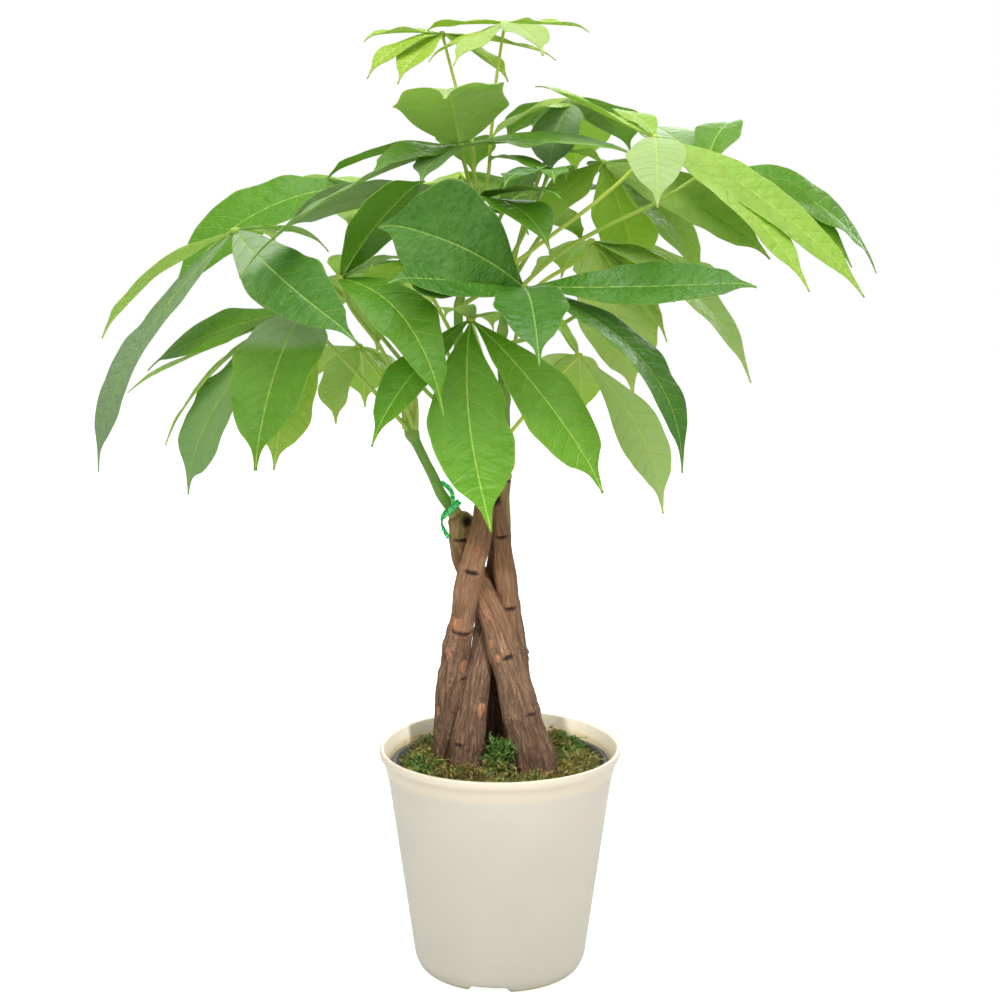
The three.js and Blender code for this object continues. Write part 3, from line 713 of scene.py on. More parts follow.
# %% List the trunks and what marks their bark
trunks = {
    "trunk_front_right": [
        [28, -24, 100, 14.5], [24, -22, 136, 13.8], [15, -18, 168, 12.3], [7, -14, 198, 10.8],
        [-4, -7, 232, 9.5], [-16, 3, 255, 9.2], [-23, 6, 275, 8.6], [-25, 5, 300, 8],
    ],
    "trunk_front_left": [
        [-37, 4, 100, 10.5], [-34, 2, 139, 10], [-33, -3, 172, 9.5], [-30, -8, 200, 9],
        [-24, -13, 232, 8], [-19, -14, 262, 8], [-12, -10, 288, 7.5], [-9, -4, 306, 6.5],
    ],
    "trunk_middle": [
        [-24, -18, 100, 12], [-22, -16, 139, 11], [-18, -12, 170, 9.8], [-13, -4, 200, 8.3],
        [-9, 4, 222, 7.5], [-4, 12, 248, 7], [0, 14, 278, 6.8], [1, 13, 305, 5.8], [1.5, 12, 323, 5.2],
    ],
    "trunk_right": [
        [25, 9, 100, 11.5], [20, 9, 138, 11], [12.5, 7, 175, 9.5], [9.5, 4, 209, 8.2],
        [6, 0, 239, 7.3], [2, -3, 268, 7], [-1.5, -3, 297, 5.2], [-4.5, -3, 314, 3.2],
    ],
    "trunk_back": [
        [-2, 28, 100, 12], [-3, 25, 136, 11.5], [-4, 20, 173, 10], [-6, 17, 207, 8.5],
        [-11, 16, 235, 8], [-16, 17, 262, 6.5],
    ],
}

# Each scar or rubbed place: height, degrees round from the front (right is plus), width, height, kind
bark_places = {
    "trunk_front_right": [
        (208, 8, 8, 2.6, "slit"), (209, -28, 6, 5, "rubbed"), (236, -20, 5, 13, "rubbed"),
        (219, -42, 5, 5, "rubbed"), (134, 20, 13, 8, "rubbed"), (172, 30, 7, 1.6, "slit"),
        (290, -20, 16, 22, "rubbed"), (282, 5, 13, 1.8, "slit"), (294, 28, 8, 6, "slit"),
    ],
    "trunk_front_left": [
        (264, 5, 11, 2.2, "slit"), (205, 48, 7, 9, "rubbed"), (232, -25, 11, 7, "rubbed"),
        (226, 10, 14, 2, "slit_rubbed"), (212, -35, 5, 8, "rubbed"), (172, -50, 4, 9, "rubbed"),
        (277, 0, 7, 6, "rubbed"), (196, 60, 8, 1.6, "slit"), (215, 180, 9, 2, "slit"),
    ],
    "trunk_middle": [(175, 38, 7, 9, "rubbed"), (152, -30, 6, 1.5, "slit"), (240, 160, 8, 2, "slit")],
    "trunk_right": [
        (239, 5, 9, 2, "slit"), (285, 10, 8, 1.8, "slit"), (267, 50, 5, 8, "rubbed"),
        (308, 0, 12, 5, "slit"), (190, 120, 8, 8, "rubbed"), (205, 95, 9, 2, "slit"),
    ],
    "trunk_back": [(210, 170, 9, 2, "slit"), (238, 150, 8, 8, "rubbed")],
}
# How far down from its top each trunk is olive, how rounded the top is, and how deep its cut wood goes
trunk_tops = {
    "trunk_front_right": (20, 9, 0), "trunk_front_left": (0, 2.4, 2.2), "trunk_middle": (40, 2.4, 6),
    "trunk_right": (0, 8, 0), "trunk_back": (0, 2.4, 2.2),
}
print("scars and rubbed places:", sum(len(places) for places in bark_places.values()))

# %% Helpers that carve the bark
trunk_sides = 120
trunk_step = 1.0
trunk_turn = np.arange(trunk_sides) / trunk_sides * 2 * math.pi
wrinkle_depth = 0.6
slit_depth = 1.3
scar_lip = 0.9
scar_swell = 0.7
scar_bow = 0.012


def straighten(lengths, girth, turn, shift):
    """Each point's place in the trunk or shoot if it stood straight, shifted so that no two look alike."""
    place = np.empty((len(lengths), len(turn), 3))
    place[..., 0] = girth * np.cos(turn) + shift
    place[..., 1] = girth * np.sin(turn)
    place[..., 2] = lengths[:, None]
    return place


def bark_cracks(place, fresh, order):
    """Narrow valleys where noise that is drawn out along the trunk passes through zero."""
    lean = place + 0.8 * ruffle(place / (7, 7, 16), order)[..., None]
    long_cracks = np.exp(-((ruffle(lean / (1.5, 1.5, 7), order) / 0.18) ** 2))
    short_cracks = np.exp(-((ruffle(lean / (1, 1, 4.2), order + 9) / 0.2) ** 2))
    return np.clip((0.6 * long_cracks + 0.7 * short_cracks) * (1 - 0.85 * fresh), 0, 1)


def leaf_scar(across, up, width, tall):
    """A slit shaped like a lens, with its ends turned up, and the lip above and below it."""
    bow = up - scar_bow * across**2
    narrow = np.exp(-((across / (width / 2)) ** 4))
    lens = np.sqrt(np.clip(1 - (across / (0.55 * width)) ** 2, 0.04, 1))
    slit = np.exp(-((bow / (0.62 * tall * lens)) ** 4)) * narrow
    lip = np.exp(-(((bow - tall) / 1.6) ** 2)) + 0.5 * np.exp(-(((bow + tall) / 1.8) ** 2))
    return slit, lip * narrow


def rubbed_patch(across, up, width, tall, place, order):
    """A round place with a ragged edge where the bark is rubbed off."""
    reach = (across / (width / 2)) ** 2 + (up / (tall / 2)) ** 2
    return np.clip(2.4 * (1 - reach - 0.8 * ruffle(place / 1.8, order + 40)), 0, 1)


def carve(places, plain, height, cracks, place, order):
    """The relief of one trunk, and its cracks, slits and rubbed patches as marks."""
    relief = 0.55 * ruffle(place / (11, 11, 19), order + 20) - wrinkle_depth * cracks
    slits = np.zeros_like(relief)
    rubs = np.zeros_like(relief)
    for level, side, width, tall, kind in places:
        across = np.angle(np.exp(1j * (trunk_turn - math.radians(side)))) * plain[:, None]
        up = height - level + 0.35 * ruffle(place / 3, order + 30)
        if "slit" in kind:
            slit, lip = leaf_scar(across, up, width, tall)
            relief += scar_lip * lip - slit_depth * slit
            relief += scar_swell * np.exp(-(((height - level) / 3.5) ** 2))
            slits = np.maximum(slits, slit)
        if "rubbed" in kind:
            patch = rubbed_patch(across, up, width, tall, place, order)
            relief += 0.25 * patch + wrinkle_depth * cracks * patch
            cracks = cracks * (1 - 0.8 * patch)
            rubs = np.maximum(rubs, patch)
    return relief, np.stack([cracks, slits, rubs], -1)


print("bark relief runs from", -slit_depth, "to", scar_lip + scar_swell, "mm at a scar")

# %% Grow the trunks
fresh_from = 160
fresh_over = 110


def grow_trunk(name, stations, order):
    shares, lengths = even_shares(stations, trunk_step)
    middle = curve_through(stations, shares)
    height = middle[:, 2:3]
    from_top = lengths[-1] - lengths
    green_reach, dome, cut_reach = trunk_tops[name]
    plain = radius_through(stations, shares) * (1 + 0.04 * np.sin(40 * shares))
    plain *= rounded_ends(lengths[-1], lengths, foot=3, top=dome)
    fresh = np.clip((height - fresh_from) / fresh_over, 0, 1)
    cut = np.clip(cut_reach - from_top, 0, 1)
    green = np.clip(1.4 - from_top / max(green_reach, 1), 0, 0.85) * (green_reach > 0)
    place = straighten(lengths, plain.max(), trunk_turn, 50 * order)
    cracks = bark_cracks(place, fresh, order)
    relief, lines = carve(bark_places[name], plain, height, cracks, place, order)
    radii = plain[:, None] + relief * np.clip(plain[:, None] / 4, 0, 1)
    years = np.stack([fresh[:, 0], cut, green], -1)[:, None] * np.ones((1, trunk_sides, 1))
    form = Form()
    form.add(
        tube(middle, radii, trunk_sides), tube_faces(len(shares), trunk_sides),
        bark_lines=lines, bark_age=years, grain=place,
    )
    make_piece(form, name + "_bark", "bark", [bark], name)


for order, (name, stations) in enumerate(trunks.items()):
    grow_trunk(name, stations, order)
print("trunks grown:", len(trunks))

# %% [markdown]
# ## The green shoots
# New shoots have grown from the cut tops. They are smooth and green, olive brown at the foot, with
# a swollen ring wherever a leaf stalk leaves. The leaf table comes first, because those swellings
# belong where its stalks start: a rule then puts them there.

# %% List the shoots and the leaves
shoots = {
    "shoot_left": [
        [-25.5, 8, 288, 4.2], [-29.5, 4, 300, 4.3], [-36.5, 0, 310, 3.5], [-43.5, -5, 326, 3.1],
        [-52, -9, 344, 3.2], [-55, -10, 351, 3.9], [-56, -10, 358, 3.4],
    ],
    "shoot_middle": [
        [-10, -3, 306.5, 4.6], [-14, 2, 330, 4], [-19, 5, 358, 3.5], [-25, 5, 400, 3.1], [-26, 5, 426, 2.8],
        [-22, 5, 448, 2.7], [-17, 3, 475, 2.6], [-13, 1, 500, 3],
    ],
    "shoot_right": [
        [1, 12, 320.5, 4.6], [2, 8, 330, 3.8], [3, 2, 348, 3.4], [3, 0, 371, 3.2], [1, 4, 402, 3],
        [3, 8, 427, 2.8], [9, 10, 456, 2.8],
    ],
}

# Each leaf: its green, its stalk from foot to hub, and its leaflets as across, back and up to the tip,
# greatest width, lift of the middle, roll of the face, and sometimes its sway, how far out the bend
# lies and how far out the leaflet is widest
leaves = {
    "leaf_a": (
        "young", [[-14, 0, 497], [-16, 4, 513], [-17, 7, 530], [-26, 5, 560], [-36, 20, 598]],
        [[-48, -10, -3, 20, 2, -8], [-44, -40, -28, 18, 5, -10], [-25, -50, -32, 22, 2, 0],
         [41, -20, -28, 24, 3, 10], [71, 2, -13, 16, 2, 5], [-28, 50, -14, 24, 4, 0]],
    ),
    "leaf_b": (
        "young", [[-10, 1, 500], [-7, 8, 513], [-6, 12, 531], [-4, 3, 550], [-2, -11, 569], [3, -8, 601]],
        [[51, -4, -3, 18, 1, 5], [22, -47, -21, 26, 3, 0], [-30, -50, -27, 20, 1, 0],
         [-46, -12, -21, 16, 1, -5], [-49, 28, 1, 18, 1, 0], [17, 55, -2, 22, 3, 0]],
    ),
    "leaf_c": (
        "mid", [[-17, 2, 482], [-19, 1, 505], [-25, 0, 528]],
        [[-6, -84, 25, 66, 14, 6, 0, 0.5, 0.44], [109, -20, -5, 40, 5, 12], [-86, 35, -16, 32, 6, 0],
         [-121, -112, -75, 20, 11, 20, 0, 0.55], [-51, -45, -16, 32, 3, -10], [-22, -52, -22, 28, 4, 0],
         [8, 72, -12, 38, 10, 0]],
    ),
    "leaf_d": (
        "dark", [[3, 0, 379], [6, -14, 392], [10, -35, 414], [14, -60, 443]],
        [[-84, -25, 38, 70, 12, -72, 1.5, 0.5, 0.58], [-76, -62, 7, 38, 1, -32],
         [133, -30, 4, 46, 2, 30, 6, 0.62, 0.56], [91, -40, -102, 38, 27, 12, 0, 0.62],
         [7, -105, -36, 42, 10, 0, 0, 0.5, 0.46]],
    ),
    "leaf_e": (
        "light", [[9, 9, 456], [27, -6, 470], [60, -22, 495], [80, -26, 513], [94, -20, 532]],
        [[-72, 30, 36, 26, 0, 0], [-4, -65, -40, 34, 8, 0], [123, -30, -92, 38, 10, 32],
         [86, -55, -88, 34, 8, 15], [-23, 45, 19, 22, 5, 0]],
    ),
    "leaf_f": (
        "mid", [[4, 8, 433], [36, -6, 462], [63, -13, 478], [97, -13, 494], [126, -5, 512]],
        [[24, 50, 34, 30, 8, 0], [118, 50, -59, 42, 18, 40], [95, 15, -55, 34, 12, 45],
         [-31, 75, 34, 42, 5, 0]],
    ),
    "leaf_g": (
        "dark", [[-19, 5, 357], [-43, -5, 374], [-61, -15, 397], [-89, -29, 431], [-125, -46, 462],
                 [-157, -52, 476]],
        [[78, -76, -59, 41, 2, 38, 4, 0.5, 0.48], [-83, -10, -139, 34, 16, -28, 0, 0.66],
         [-85, 20, -61, 30, 8, 0], [53, 25, -9, 24, 6, 0], [20, 34, -4, 22, 3, 0]],
    ),
    "leaf_h": (
        "mid", [[-55, -11, 351], [-75, -25, 376], [-102, -50, 409], [-116, -65, 430]],
        [[-22, -55, -85, 58, 10, 0, -1, 0.5, 0.41], [-71, 5, -107, 40, 16, -48, 0, 0.6, 0.62],
         [-85, 10, -78, 26, 10, -10], [-97, 25, -34, 38, 5, -30], [-113, 40, -49, 26, 2, -10],
         [-18, -5, -91, 36, 6, -75]],
    ),
    "leaf_i": (
        "mid", [[-54, -12, 354], [-65, -32, 390], [-73, -42, 408], [-89, -55, 432], [-94, -60, 448]],
        [[63, -75, -71, 38, 17, 16, -6, 0.5, 0.44], [50, 5, 60, 36, 6, -50], [38, 0, 13, 26, 3, 0],
         [20, 20, -42, 36, 8, 0], [13, 80, 9, 32, 6, 0]],
    ),
    "leaf_j": (
        "mid", [[2, 0, 371], [-7, -20, 388], [-13, -50, 409], [-17, -75, 425]],
        [[12, -45, -115, 47, 12, 0, 10, 0.5, 0.6], [76, -30, -95, 42, 10, 40, 0, 0.5, 0.6],
         [-55, -50, -66, 32, 8, -10, 0, 0.5, 0.58],
         [-17, 55, 2, 20, 4, 0], [13, 42, -5, 20, 4, 0]],
    ),
    "leaf_k": (
        "light", [[3, 1, 346], [20, -12, 368], [40, -25, 392], [48, -30, 401]],
        [[50, -30, -90, 30, 9, 30, -6, 0.5, 0.6], [-19, 30, 26, 11, 2, 0], [5, 62, -42, 30, 8, 0],
         [-24, 56, -26, 26, 8, 0]],
    ),
    "leaf_l": (
        "light", [[3, 8, 425], [29, 12, 446], [51, 8, 460], [57, 6, 470]],
        [[26, -15, -91, 54, 6, 40], [47, -13, -59, 24, 5, 20], [99, -18, -84, 42, 18, 20],
         [52, -4, -13, 22, 3, 0], [-17, 45, -20, 30, 5, 0]],
    ),
    "leaf_m": (
        "dark", [[-24, 5, 430], [-2, -14, 446], [12, -28, 470], [22, -35, 492], [29, -38, 510]],
        [[-27, -42, -7, 26, 4, 0], [-36, 46, 12, 26, 3, 0], [2, -42, -4, 20, 3, 0], [12, 26, 0, 20, 3, 0]],
    ),
    "leaf_n": (
        "mid", [[5, 9, 441], [29, 18, 478], [50, 20, 500], [65, 25, 519]],
        [[23, 1, -72, 42, 6, 78], [-27, -5, 6, 28, 3, 0], [64, -5, -72, 46, 8, 30],
         [103, -25, -57, 38, 8, 45], [-39, -15, -43, 34, 6, -20], [10, 58, -10, 30, 5, 0]],
    ),
    "leaf_o": (
        "dark", [[-18, 3, 470], [-17, -10, 484], [-13, -20, 495]],
        [[42, -60, -28, 36, 9, 0], [48, -65, 2, 28, 4, 0], [-122, 5, -17, 34, 13, 30, 0, 0.55, 0.62],
         [-72, 46, -12, 34, 6, 0]],
    ),
    "leaf_p": (
        "light", [[-57, -8, 354], [-62, -3, 369], [-72, -1, 382], [-88, -5, 405]],
        [[-14, -12, -44, 38, 6, 0], [31, -8, -27, 32, 2, 0], [-36, 45, -25, 32, 6, 0],
         [-2, 70, -41, 34, 8, 0]],
    ),
    "leaf_q": (
        "light", [[-25, 5, 402], [-43, 20, 435], [-64, 35, 471], [-85, 40, 504]],
        [[-122, -35, -68, 50, 24, -35], [-8, -36, -25, 34, 5, 0], [-51, 70, 0, 36, 6, 0],
         [44, 66, -18, 36, 6, 0]],
    ),
    "leaf_r": (
        "mid", [[2, 6, 414], [4, 18, 432], [8, 22, 452], [12, 23, 470], [21, 25, 500], [33, 31, 530],
                [47, 40, 558]],
        [[-53, -20, -22, 28, 4, 0], [-16, -25, -45, 36, 6, 0], [40, 45, -26, 40, 6, 0],
         [-43, 45, -20, 38, 6, 0], [4, 76, -40, 56, 10, 0]],
    ),
    "leaf_s": (
        "dark", [[7, 11, 453], [0, 24, 464], [-2, 40, 478], [2, 50, 490]],
        [[76, -5, 14, 44, 4, 8], [26, 22, 30, 34, 3, 0], [-32, 60, -8, 34, 5, 0], [56, 60, -20, 36, 8, 0]],
    ),
    "leaf_t": (
        "mid", [[-20, 7, 366], [-32, 30, 395], [-50, 62, 430], [-65, 85, 455]],
        [[-95, 15, -45, 38, 10, 0], [-60, 74, -40, 40, 10, 0], [5, 82, -45, 40, 10, 0],
         [45, 40, -12, 34, 5, 0], [-20, -40, -30, 34, 5, 0]],
    ),
    "leaf_u": (
        "mid", [[1, 6, 405], [28, 22, 412], [62, 55, 432], [80, 85, 465]],
        [[75, 20, -25, 36, 6, 0], [45, 80, -35, 40, 8, 0], [-15, 82, -30, 40, 8, 0],
         [-58, 45, -14, 36, 5, 0], [15, -35, -30, 32, 5, 0]],
    ),
    "leaf_v": (
        "light", [[-18, 6, 470], [-16, 32, 490], [-20, 70, 508], [-25, 95, 514]],
        [[-68, 42, -38, 38, 8, 0], [-18, 70, -40, 40, 8, 0], [45, 62, -36, 38, 8, 0],
         [75, 12, -32, 36, 6, 0]],
    ),
}
print("leaves:", len(leaves), "leaflets:", sum(len(leaflets) for _, _, leaflets in leaves.values()))

# %% [markdown]
# The shoots themselves are tubes like the trunks, with few marks: how high up the shoot a point lies,
# and how close it is to a joint. Their skin is finely striped along its length, olive brown at the
# foot and green above. Small pointed scales guard the buds at the top of each shoot.

# %% Grow the shoots
shoot_sides = 36
shoot_step = 1.0
shoot_turn = np.arange(shoot_sides) / shoot_sides * 2 * math.pi
shoot_girth = 4
joint_swell = 0.9
joint_reach = 3.2
joint_near = 6
foot_swell = 0.45
foot_reach = 9
# How long and how thick the bud at the top of each shoot is
buds = {"shoot_left": (25, 3.1), "shoot_middle": (8, 1.5), "shoot_right": (8, 1.5)}

shoot_greens = (paint(92, 138, 44), paint(122, 168, 66))
shoot_olives = (paint(140, 126, 66), paint(186, 170, 108))
shoot_joint = paint(150, 170, 80)
bud_greens = (paint(158, 178, 78), paint(204, 214, 122))

shoot_skin = Finish("shoot_skin", Roughness=0.5, Specular_IOR_Level=0.4)
up_the_shoot, near_joint, _ = shoot_skin.split(shoot_skin.marks("shoot_look"))
stripes = shoot_skin.grain(shoot_skin.marks("grain"), (1.1, 1.1, 0.07))
shoot_green = shoot_skin.shade(stripes, 0.3, 0.7, *shoot_greens)
shoot_foot = shoot_skin.shade(stripes, 0.3, 0.7, *shoot_olives)
shoot_colour = shoot_skin.shade(up_the_shoot, 0.12, 0.26, shoot_foot, shoot_green)
shoot_skin.colour(shoot_skin.blend(shoot_skin.times(near_joint, 0.5), shoot_colour, shoot_joint))
shoot_skin.relief(stripes, 0.0002, 0.4)

bud_skin = Finish("bud_scale", Roughness=0.55, Specular_IOR_Level=0.35)
scale_streak = bud_skin.grain(bud_skin.place(), (900, 900, 120), 2)
bud_skin.colour(bud_skin.shade(scale_streak, 0.35, 0.7, *bud_greens))


def bud_scale(form, foot, way, width):
    """A small pointed scale: a cone that bows upwards as it leans out from the shoot."""
    rows = np.linspace(0, 1, 9)[:, None]
    bow = np.array([0, 0, 1.0]) * (rows * (1 - rows)) * 2
    radii = width * np.sqrt(np.clip(1 - rows[:, 0] ** 1.6, 0.002, 1))
    form.add(tube(foot + way * rows + bow, radii, 10), tube_faces(len(rows), 10), finish=1)


def grow_bud(form, top, length, radius):
    """Three scales side by side at the top of a shoot."""
    for lean in (-1, 0.2, 1):
        way = np.array([1.6 * lean, -0.8, length * (1 - 0.15 * abs(lean))])
        bud_scale(form, top + (0.7 * radius * lean, -1.2, -4), way, radius)


def near_stalks(middle, lengths):
    """How close each ring of a shoot is to the foot of a stalk, from 0 to 1."""
    near = np.zeros(len(lengths))
    for _, stalk, _ in leaves.values():
        away = np.linalg.norm(middle - np.array(stalk[0]), axis=1)
        if away.min() < joint_near:
            near = np.maximum(near, np.exp(-(((lengths - lengths[away.argmin()]) / joint_reach) ** 2)))
    return near


def grow_shoot(name, stations, order):
    shares, lengths = even_shares(stations, shoot_step)
    middle = curve_through(stations, shares)
    plain = radius_through(stations, shares) * rounded_ends(lengths[-1], lengths, foot=1, top=1.5)
    plain = plain * (1 + foot_swell * np.exp(-((lengths / foot_reach) ** 2)))
    near = near_stalks(middle, lengths)
    place = straighten(lengths, shoot_girth, shoot_turn, 30 * order)
    relief = 0.12 * ruffle(place / (1.3, 1.3, 9), order + 60) + 0.2 * ruffle(place / 5, order + 61)
    radii = plain[:, None] + (relief + joint_swell * near[:, None]) * np.clip(plain[:, None] / 3, 0, 1)
    look = np.stack([shares, near, np.zeros_like(shares)], -1)[:, None] * np.ones((1, shoot_sides, 1))
    form = Form()
    form.add(
        tube(middle, radii, shoot_sides), tube_faces(len(shares), shoot_sides),
        shoot_look=look, grain=place,
    )
    grow_bud(form, middle[-1], *buds[name])
    make_piece(form, name + "_skin", "shoot", [shoot_skin, bud_skin], name)


for order, (name, stations) in enumerate(shoots.items()):
    grow_shoot(name, stations, order)
print("shoots grown:", len(shoots))

# %% [markdown]
# ## The foil tie
# A strip of bright green foil is twisted round the left shoot and the trunk that it grew from. Foil
# keeps every crease, so a flat ribbon is swept along listed places, with its width turned a little at
# each and a crinkle added. One ribbon is the slanted band, two are its loose ends, and the last is the
# short strand that crosses the band at the front.

# %% Wind the foil tie
tie_width = 2.9
tie_thickness = 0.35
tie_radius = 7.4
tie_tilt = 41
tie_centre = np.array([-30.8, 0, 302])
# Painted glint colour, then the foil's own green.
foil_glint_and_green = (paint(110, 236, 140), paint(12, 166, 66))
# Each shorter strand: its places, and how its width is turned along it in degrees
tie_strands = [
    ([[-36, -6, 298.5], [-37, -7.6, 294.5], [-35.6, -8.2, 290], [-32.4, -8.6, 284.6]], [60, 20, 50, 80]),
    ([[-30, -6.5, 305], [-29.6, -8, 310], [-31.4, -7.2, 315], [-37, -3.4, 319.4]], [30, 70, 100, 60]),
    ([[-25.2, -7.2, 307], [-28.6, -8, 305], [-32.4, -8, 301.4], [-36, -6.2, 297.4]], [84, 96, 88, 92]),
]

foil = Finish("green_foil", Roughness=0.26, Metallic=0.3)
creases = foil.cells(foil.place(), 520)
# Painted glints: pale and bright along the crease lines, deep green between them.
foil.colour(foil.shade(creases, 0.02, 0.2, *foil_glint_and_green))
foil.relief(creases, 0.0006)


def ribbon(form, places, twists, steps=60):
    """A thin flat strip along a curve. The twists turn its width, in degrees, evenly spaced along it."""
    shares = np.linspace(0, 1, steps)
    middle = curve_through(places, shares)
    middle += 0.25 * np.stack([ruffle(middle / 2.2, k) for k in (70, 71, 72)], -1)
    _, facing, beside = directions(middle, (0, -1, 0.1))
    twist = np.radians(np.interp(shares, np.linspace(0, 1, len(twists)), twists))[:, None]
    wide = facing * np.cos(twist) + beside * np.sin(twist)
    thick = facing * np.sin(twist) - beside * np.cos(twist)
    columns = np.array([-1, -0.5, 0, 0.5, 1])
    crimp = 0.35 * np.sin(np.linspace(0, 9 * math.pi, steps))[:, None]
    sheet = middle[:, None] + wide[:, None] * columns[:, None] * tie_width / 2
    sheet = sheet + thick[:, None] * (crimp * (1 - columns**2))[..., None]
    skin = thick[:, None] * tie_thickness / 2
    loop = np.concatenate([sheet + skin, (sheet - skin)[:, ::-1]], 1)
    form.add(loop, tube_faces(steps, len(columns) * 2))


tie_form = Form()
around = np.radians(np.linspace(-80, 290, 18))
tilt = math.radians(tie_tilt)
hoop = np.stack([np.cos(around) * math.cos(tilt), np.sin(around), np.cos(around) * math.sin(tilt)], -1)
hoop = tie_centre + hoop * (tie_radius + 0.25)
ribbon(tie_form, hoop, [90, 78, 96, 84, 90], 120)
for places, twists in tie_strands:
    ribbon(tie_form, places, twists)
make_piece(tie_form, "foil_tie", "tie", [foil], "tie")
print("tie wound with", len(tie_form.faces), "faces")

# %% [markdown]
# ## Moss
# A bed of dried and living moss covers the soil: olive and green mats with fresher patches,
# straw-coloured threads and dark gaps, humped on the left and right and tucked up between the trunks
# at the front. Hair would be quick, but it doesn't survive as a mesh, so each sprig is a real thread
# with small pointed leaves. The sprigs are placed by a seeded draw, and a bumpy bed lies under them.

# %% Lay the moss bed
moss_reach = 64.4
moss_centre = 9
moss_depth = 5
moss_bump = 4
moss_sides = 150
moss_rows = 46
# Each hump: across, back, radius and extra height
moss_humps = [
    (-46, 32, 18, 9), (-53, -8, 16, 4.5), (40, 36, 20, 12), (50, 2, 17, 6.5), (30, -45, 16, 3.5),
    (-24, -47, 19, 9), (2, -54, 12, 6),
]
moss_greens = (paint(204, 214, 116), paint(240, 248, 174))
moss_olives = (paint(222, 204, 106), paint(252, 240, 166))
moss_fresh = paint(158, 208, 108)
moss_straw = paint(222, 202, 124)
# Painted shade low in the mat, at the foot of each sprig and on the bed.
moss_painted_shade = paint(96, 86, 42)


def moss_level(points):
    """Height of the moss bed over a place, in millimetres above the soil."""
    radius = np.hypot(points[..., 0], points[..., 1])
    angle = np.arctan2(points[..., 1], points[..., 0])
    share = np.clip((radius - 16) / (moss_reach - 16), 0, 1)
    hump = np.sin(math.pi * np.minimum(1, 0.25 + 0.75 * share))
    tufts = np.sin(5 * angle + 1) * np.sin(7 * share + 2 * angle) + 0.6 * np.sin(11 * angle + 3 * share)
    level = moss_depth + moss_bump * (0.7 * hump + 0.45 * tufts)
    for across, back, reach, extra in moss_humps:
        away = (points[..., 0] - across) ** 2 + (points[..., 1] - back) ** 2
        level = level + extra * np.exp(-away / (reach * 0.6) ** 2)
    return np.clip(level, 1.5, None)


moss_finish = Finish("moss", Roughness=0.9, Specular_IOR_Level=0.15)
sprig_tone, sprig_reach, sprig_dry = moss_finish.split(moss_finish.marks("sprig_look"))
moss_cloud = moss_finish.cloud(moss_finish.place(), 90)
green_moss = moss_finish.shade(sprig_tone, 0.25, 0.9, *moss_greens)
olive_moss = moss_finish.shade(sprig_tone, 0.1, 0.9, *moss_olives)
moss_colour = moss_finish.shade(moss_cloud, 0.42, 0.56, green_moss, olive_moss)
moss_colour = moss_finish.shade(sprig_dry, -0.2, -0.6, moss_colour, moss_fresh)
moss_colour = moss_finish.shade(sprig_dry, 0.84, 0.9, moss_colour, moss_straw)
# Painted shade: darker towards the foot of each sprig and on the bed.
moss_colour = moss_finish.blend(moss_finish.fade(sprig_reach, 0.0, 0.4, 0.4, 0.0), moss_colour, moss_painted_shade)
moss_finish.colour(moss_colour)
moss_finish.let_light_through(moss_colour, 0.3)

bed_profile = np.array([(radius, 0) for radius in np.linspace(moss_centre, moss_reach, moss_rows)], float)
bed, _ = turned(bed_profile, moss_sides)
bed_under = bed.copy()
bed[..., 2] = soil_level + moss_level(bed) + 1.3 * ruffle(bed / 2.4, 80) + 1.2 * ruffle(bed / 5, 81)
bed_under[..., 2] = soil_level
bed = np.concatenate([bed_under[::-1], bed])
bed_faces = grid_faces(2 * moss_rows, moss_sides, closed=True, flip=True)
bed_close = grid_faces(2, moss_sides, closed=True, flip=True)
last_row = (2 * moss_rows - 1) * moss_sides
bed_close = np.where(bed_close >= moss_sides, bed_close - moss_sides, bed_close + last_row)
moss_bed = Form()
# The bed takes a reach of 0.3, which gives it a little painted shade.
bed_look = [0.4 + 0.4 * ruffle(bed / 3, 82), np.full(bed.shape[:2], 0.3), np.zeros(bed.shape[:2])]
moss_bed.add(bed, [bed_faces, bed_close], sprig_look=np.stack(bed_look, -1))
make_piece(moss_bed, "moss_bed", "moss", [moss_finish], "moss")
print("moss bed has", len(moss_bed.faces), "faces")

# %% [markdown]
# Each sprig starts on the bed and leans its own way. Its thread is a three-sided tube, and its leaves
# are slim pyramids that turn round it. Places inside a trunk are passed over, so that no sprig grows
# through bark. The bed comes first, then a taller tuft between the front trunks, and last a few
# straw-coloured threads that trail over the others.

# %% Helpers that plant the sprigs
sprig_rows = 6
sprig_leaves = 11
sprig_leaf = 3.9
sprig_curl = 1.9
sprig_limit = 69.5
sprig_rise = 6.5
sprig_droop = 0.35
moss_draw = np.random.default_rng(11)


def clear_of_trunks(points):
    """True for places that lie outside every trunk at the level of the moss."""
    clear = np.ones(len(points), bool)
    for stations in trunks.values():
        first, second = np.array(stations[0]), np.array(stations[1])
        foot = first + (second - first) * (soil_level + 8 - first[2]) / (second[2] - first[2])
        clear &= np.hypot(points[:, 0] - foot[0], points[:, 1] - foot[1]) > foot[3] - 0.5
    return clear


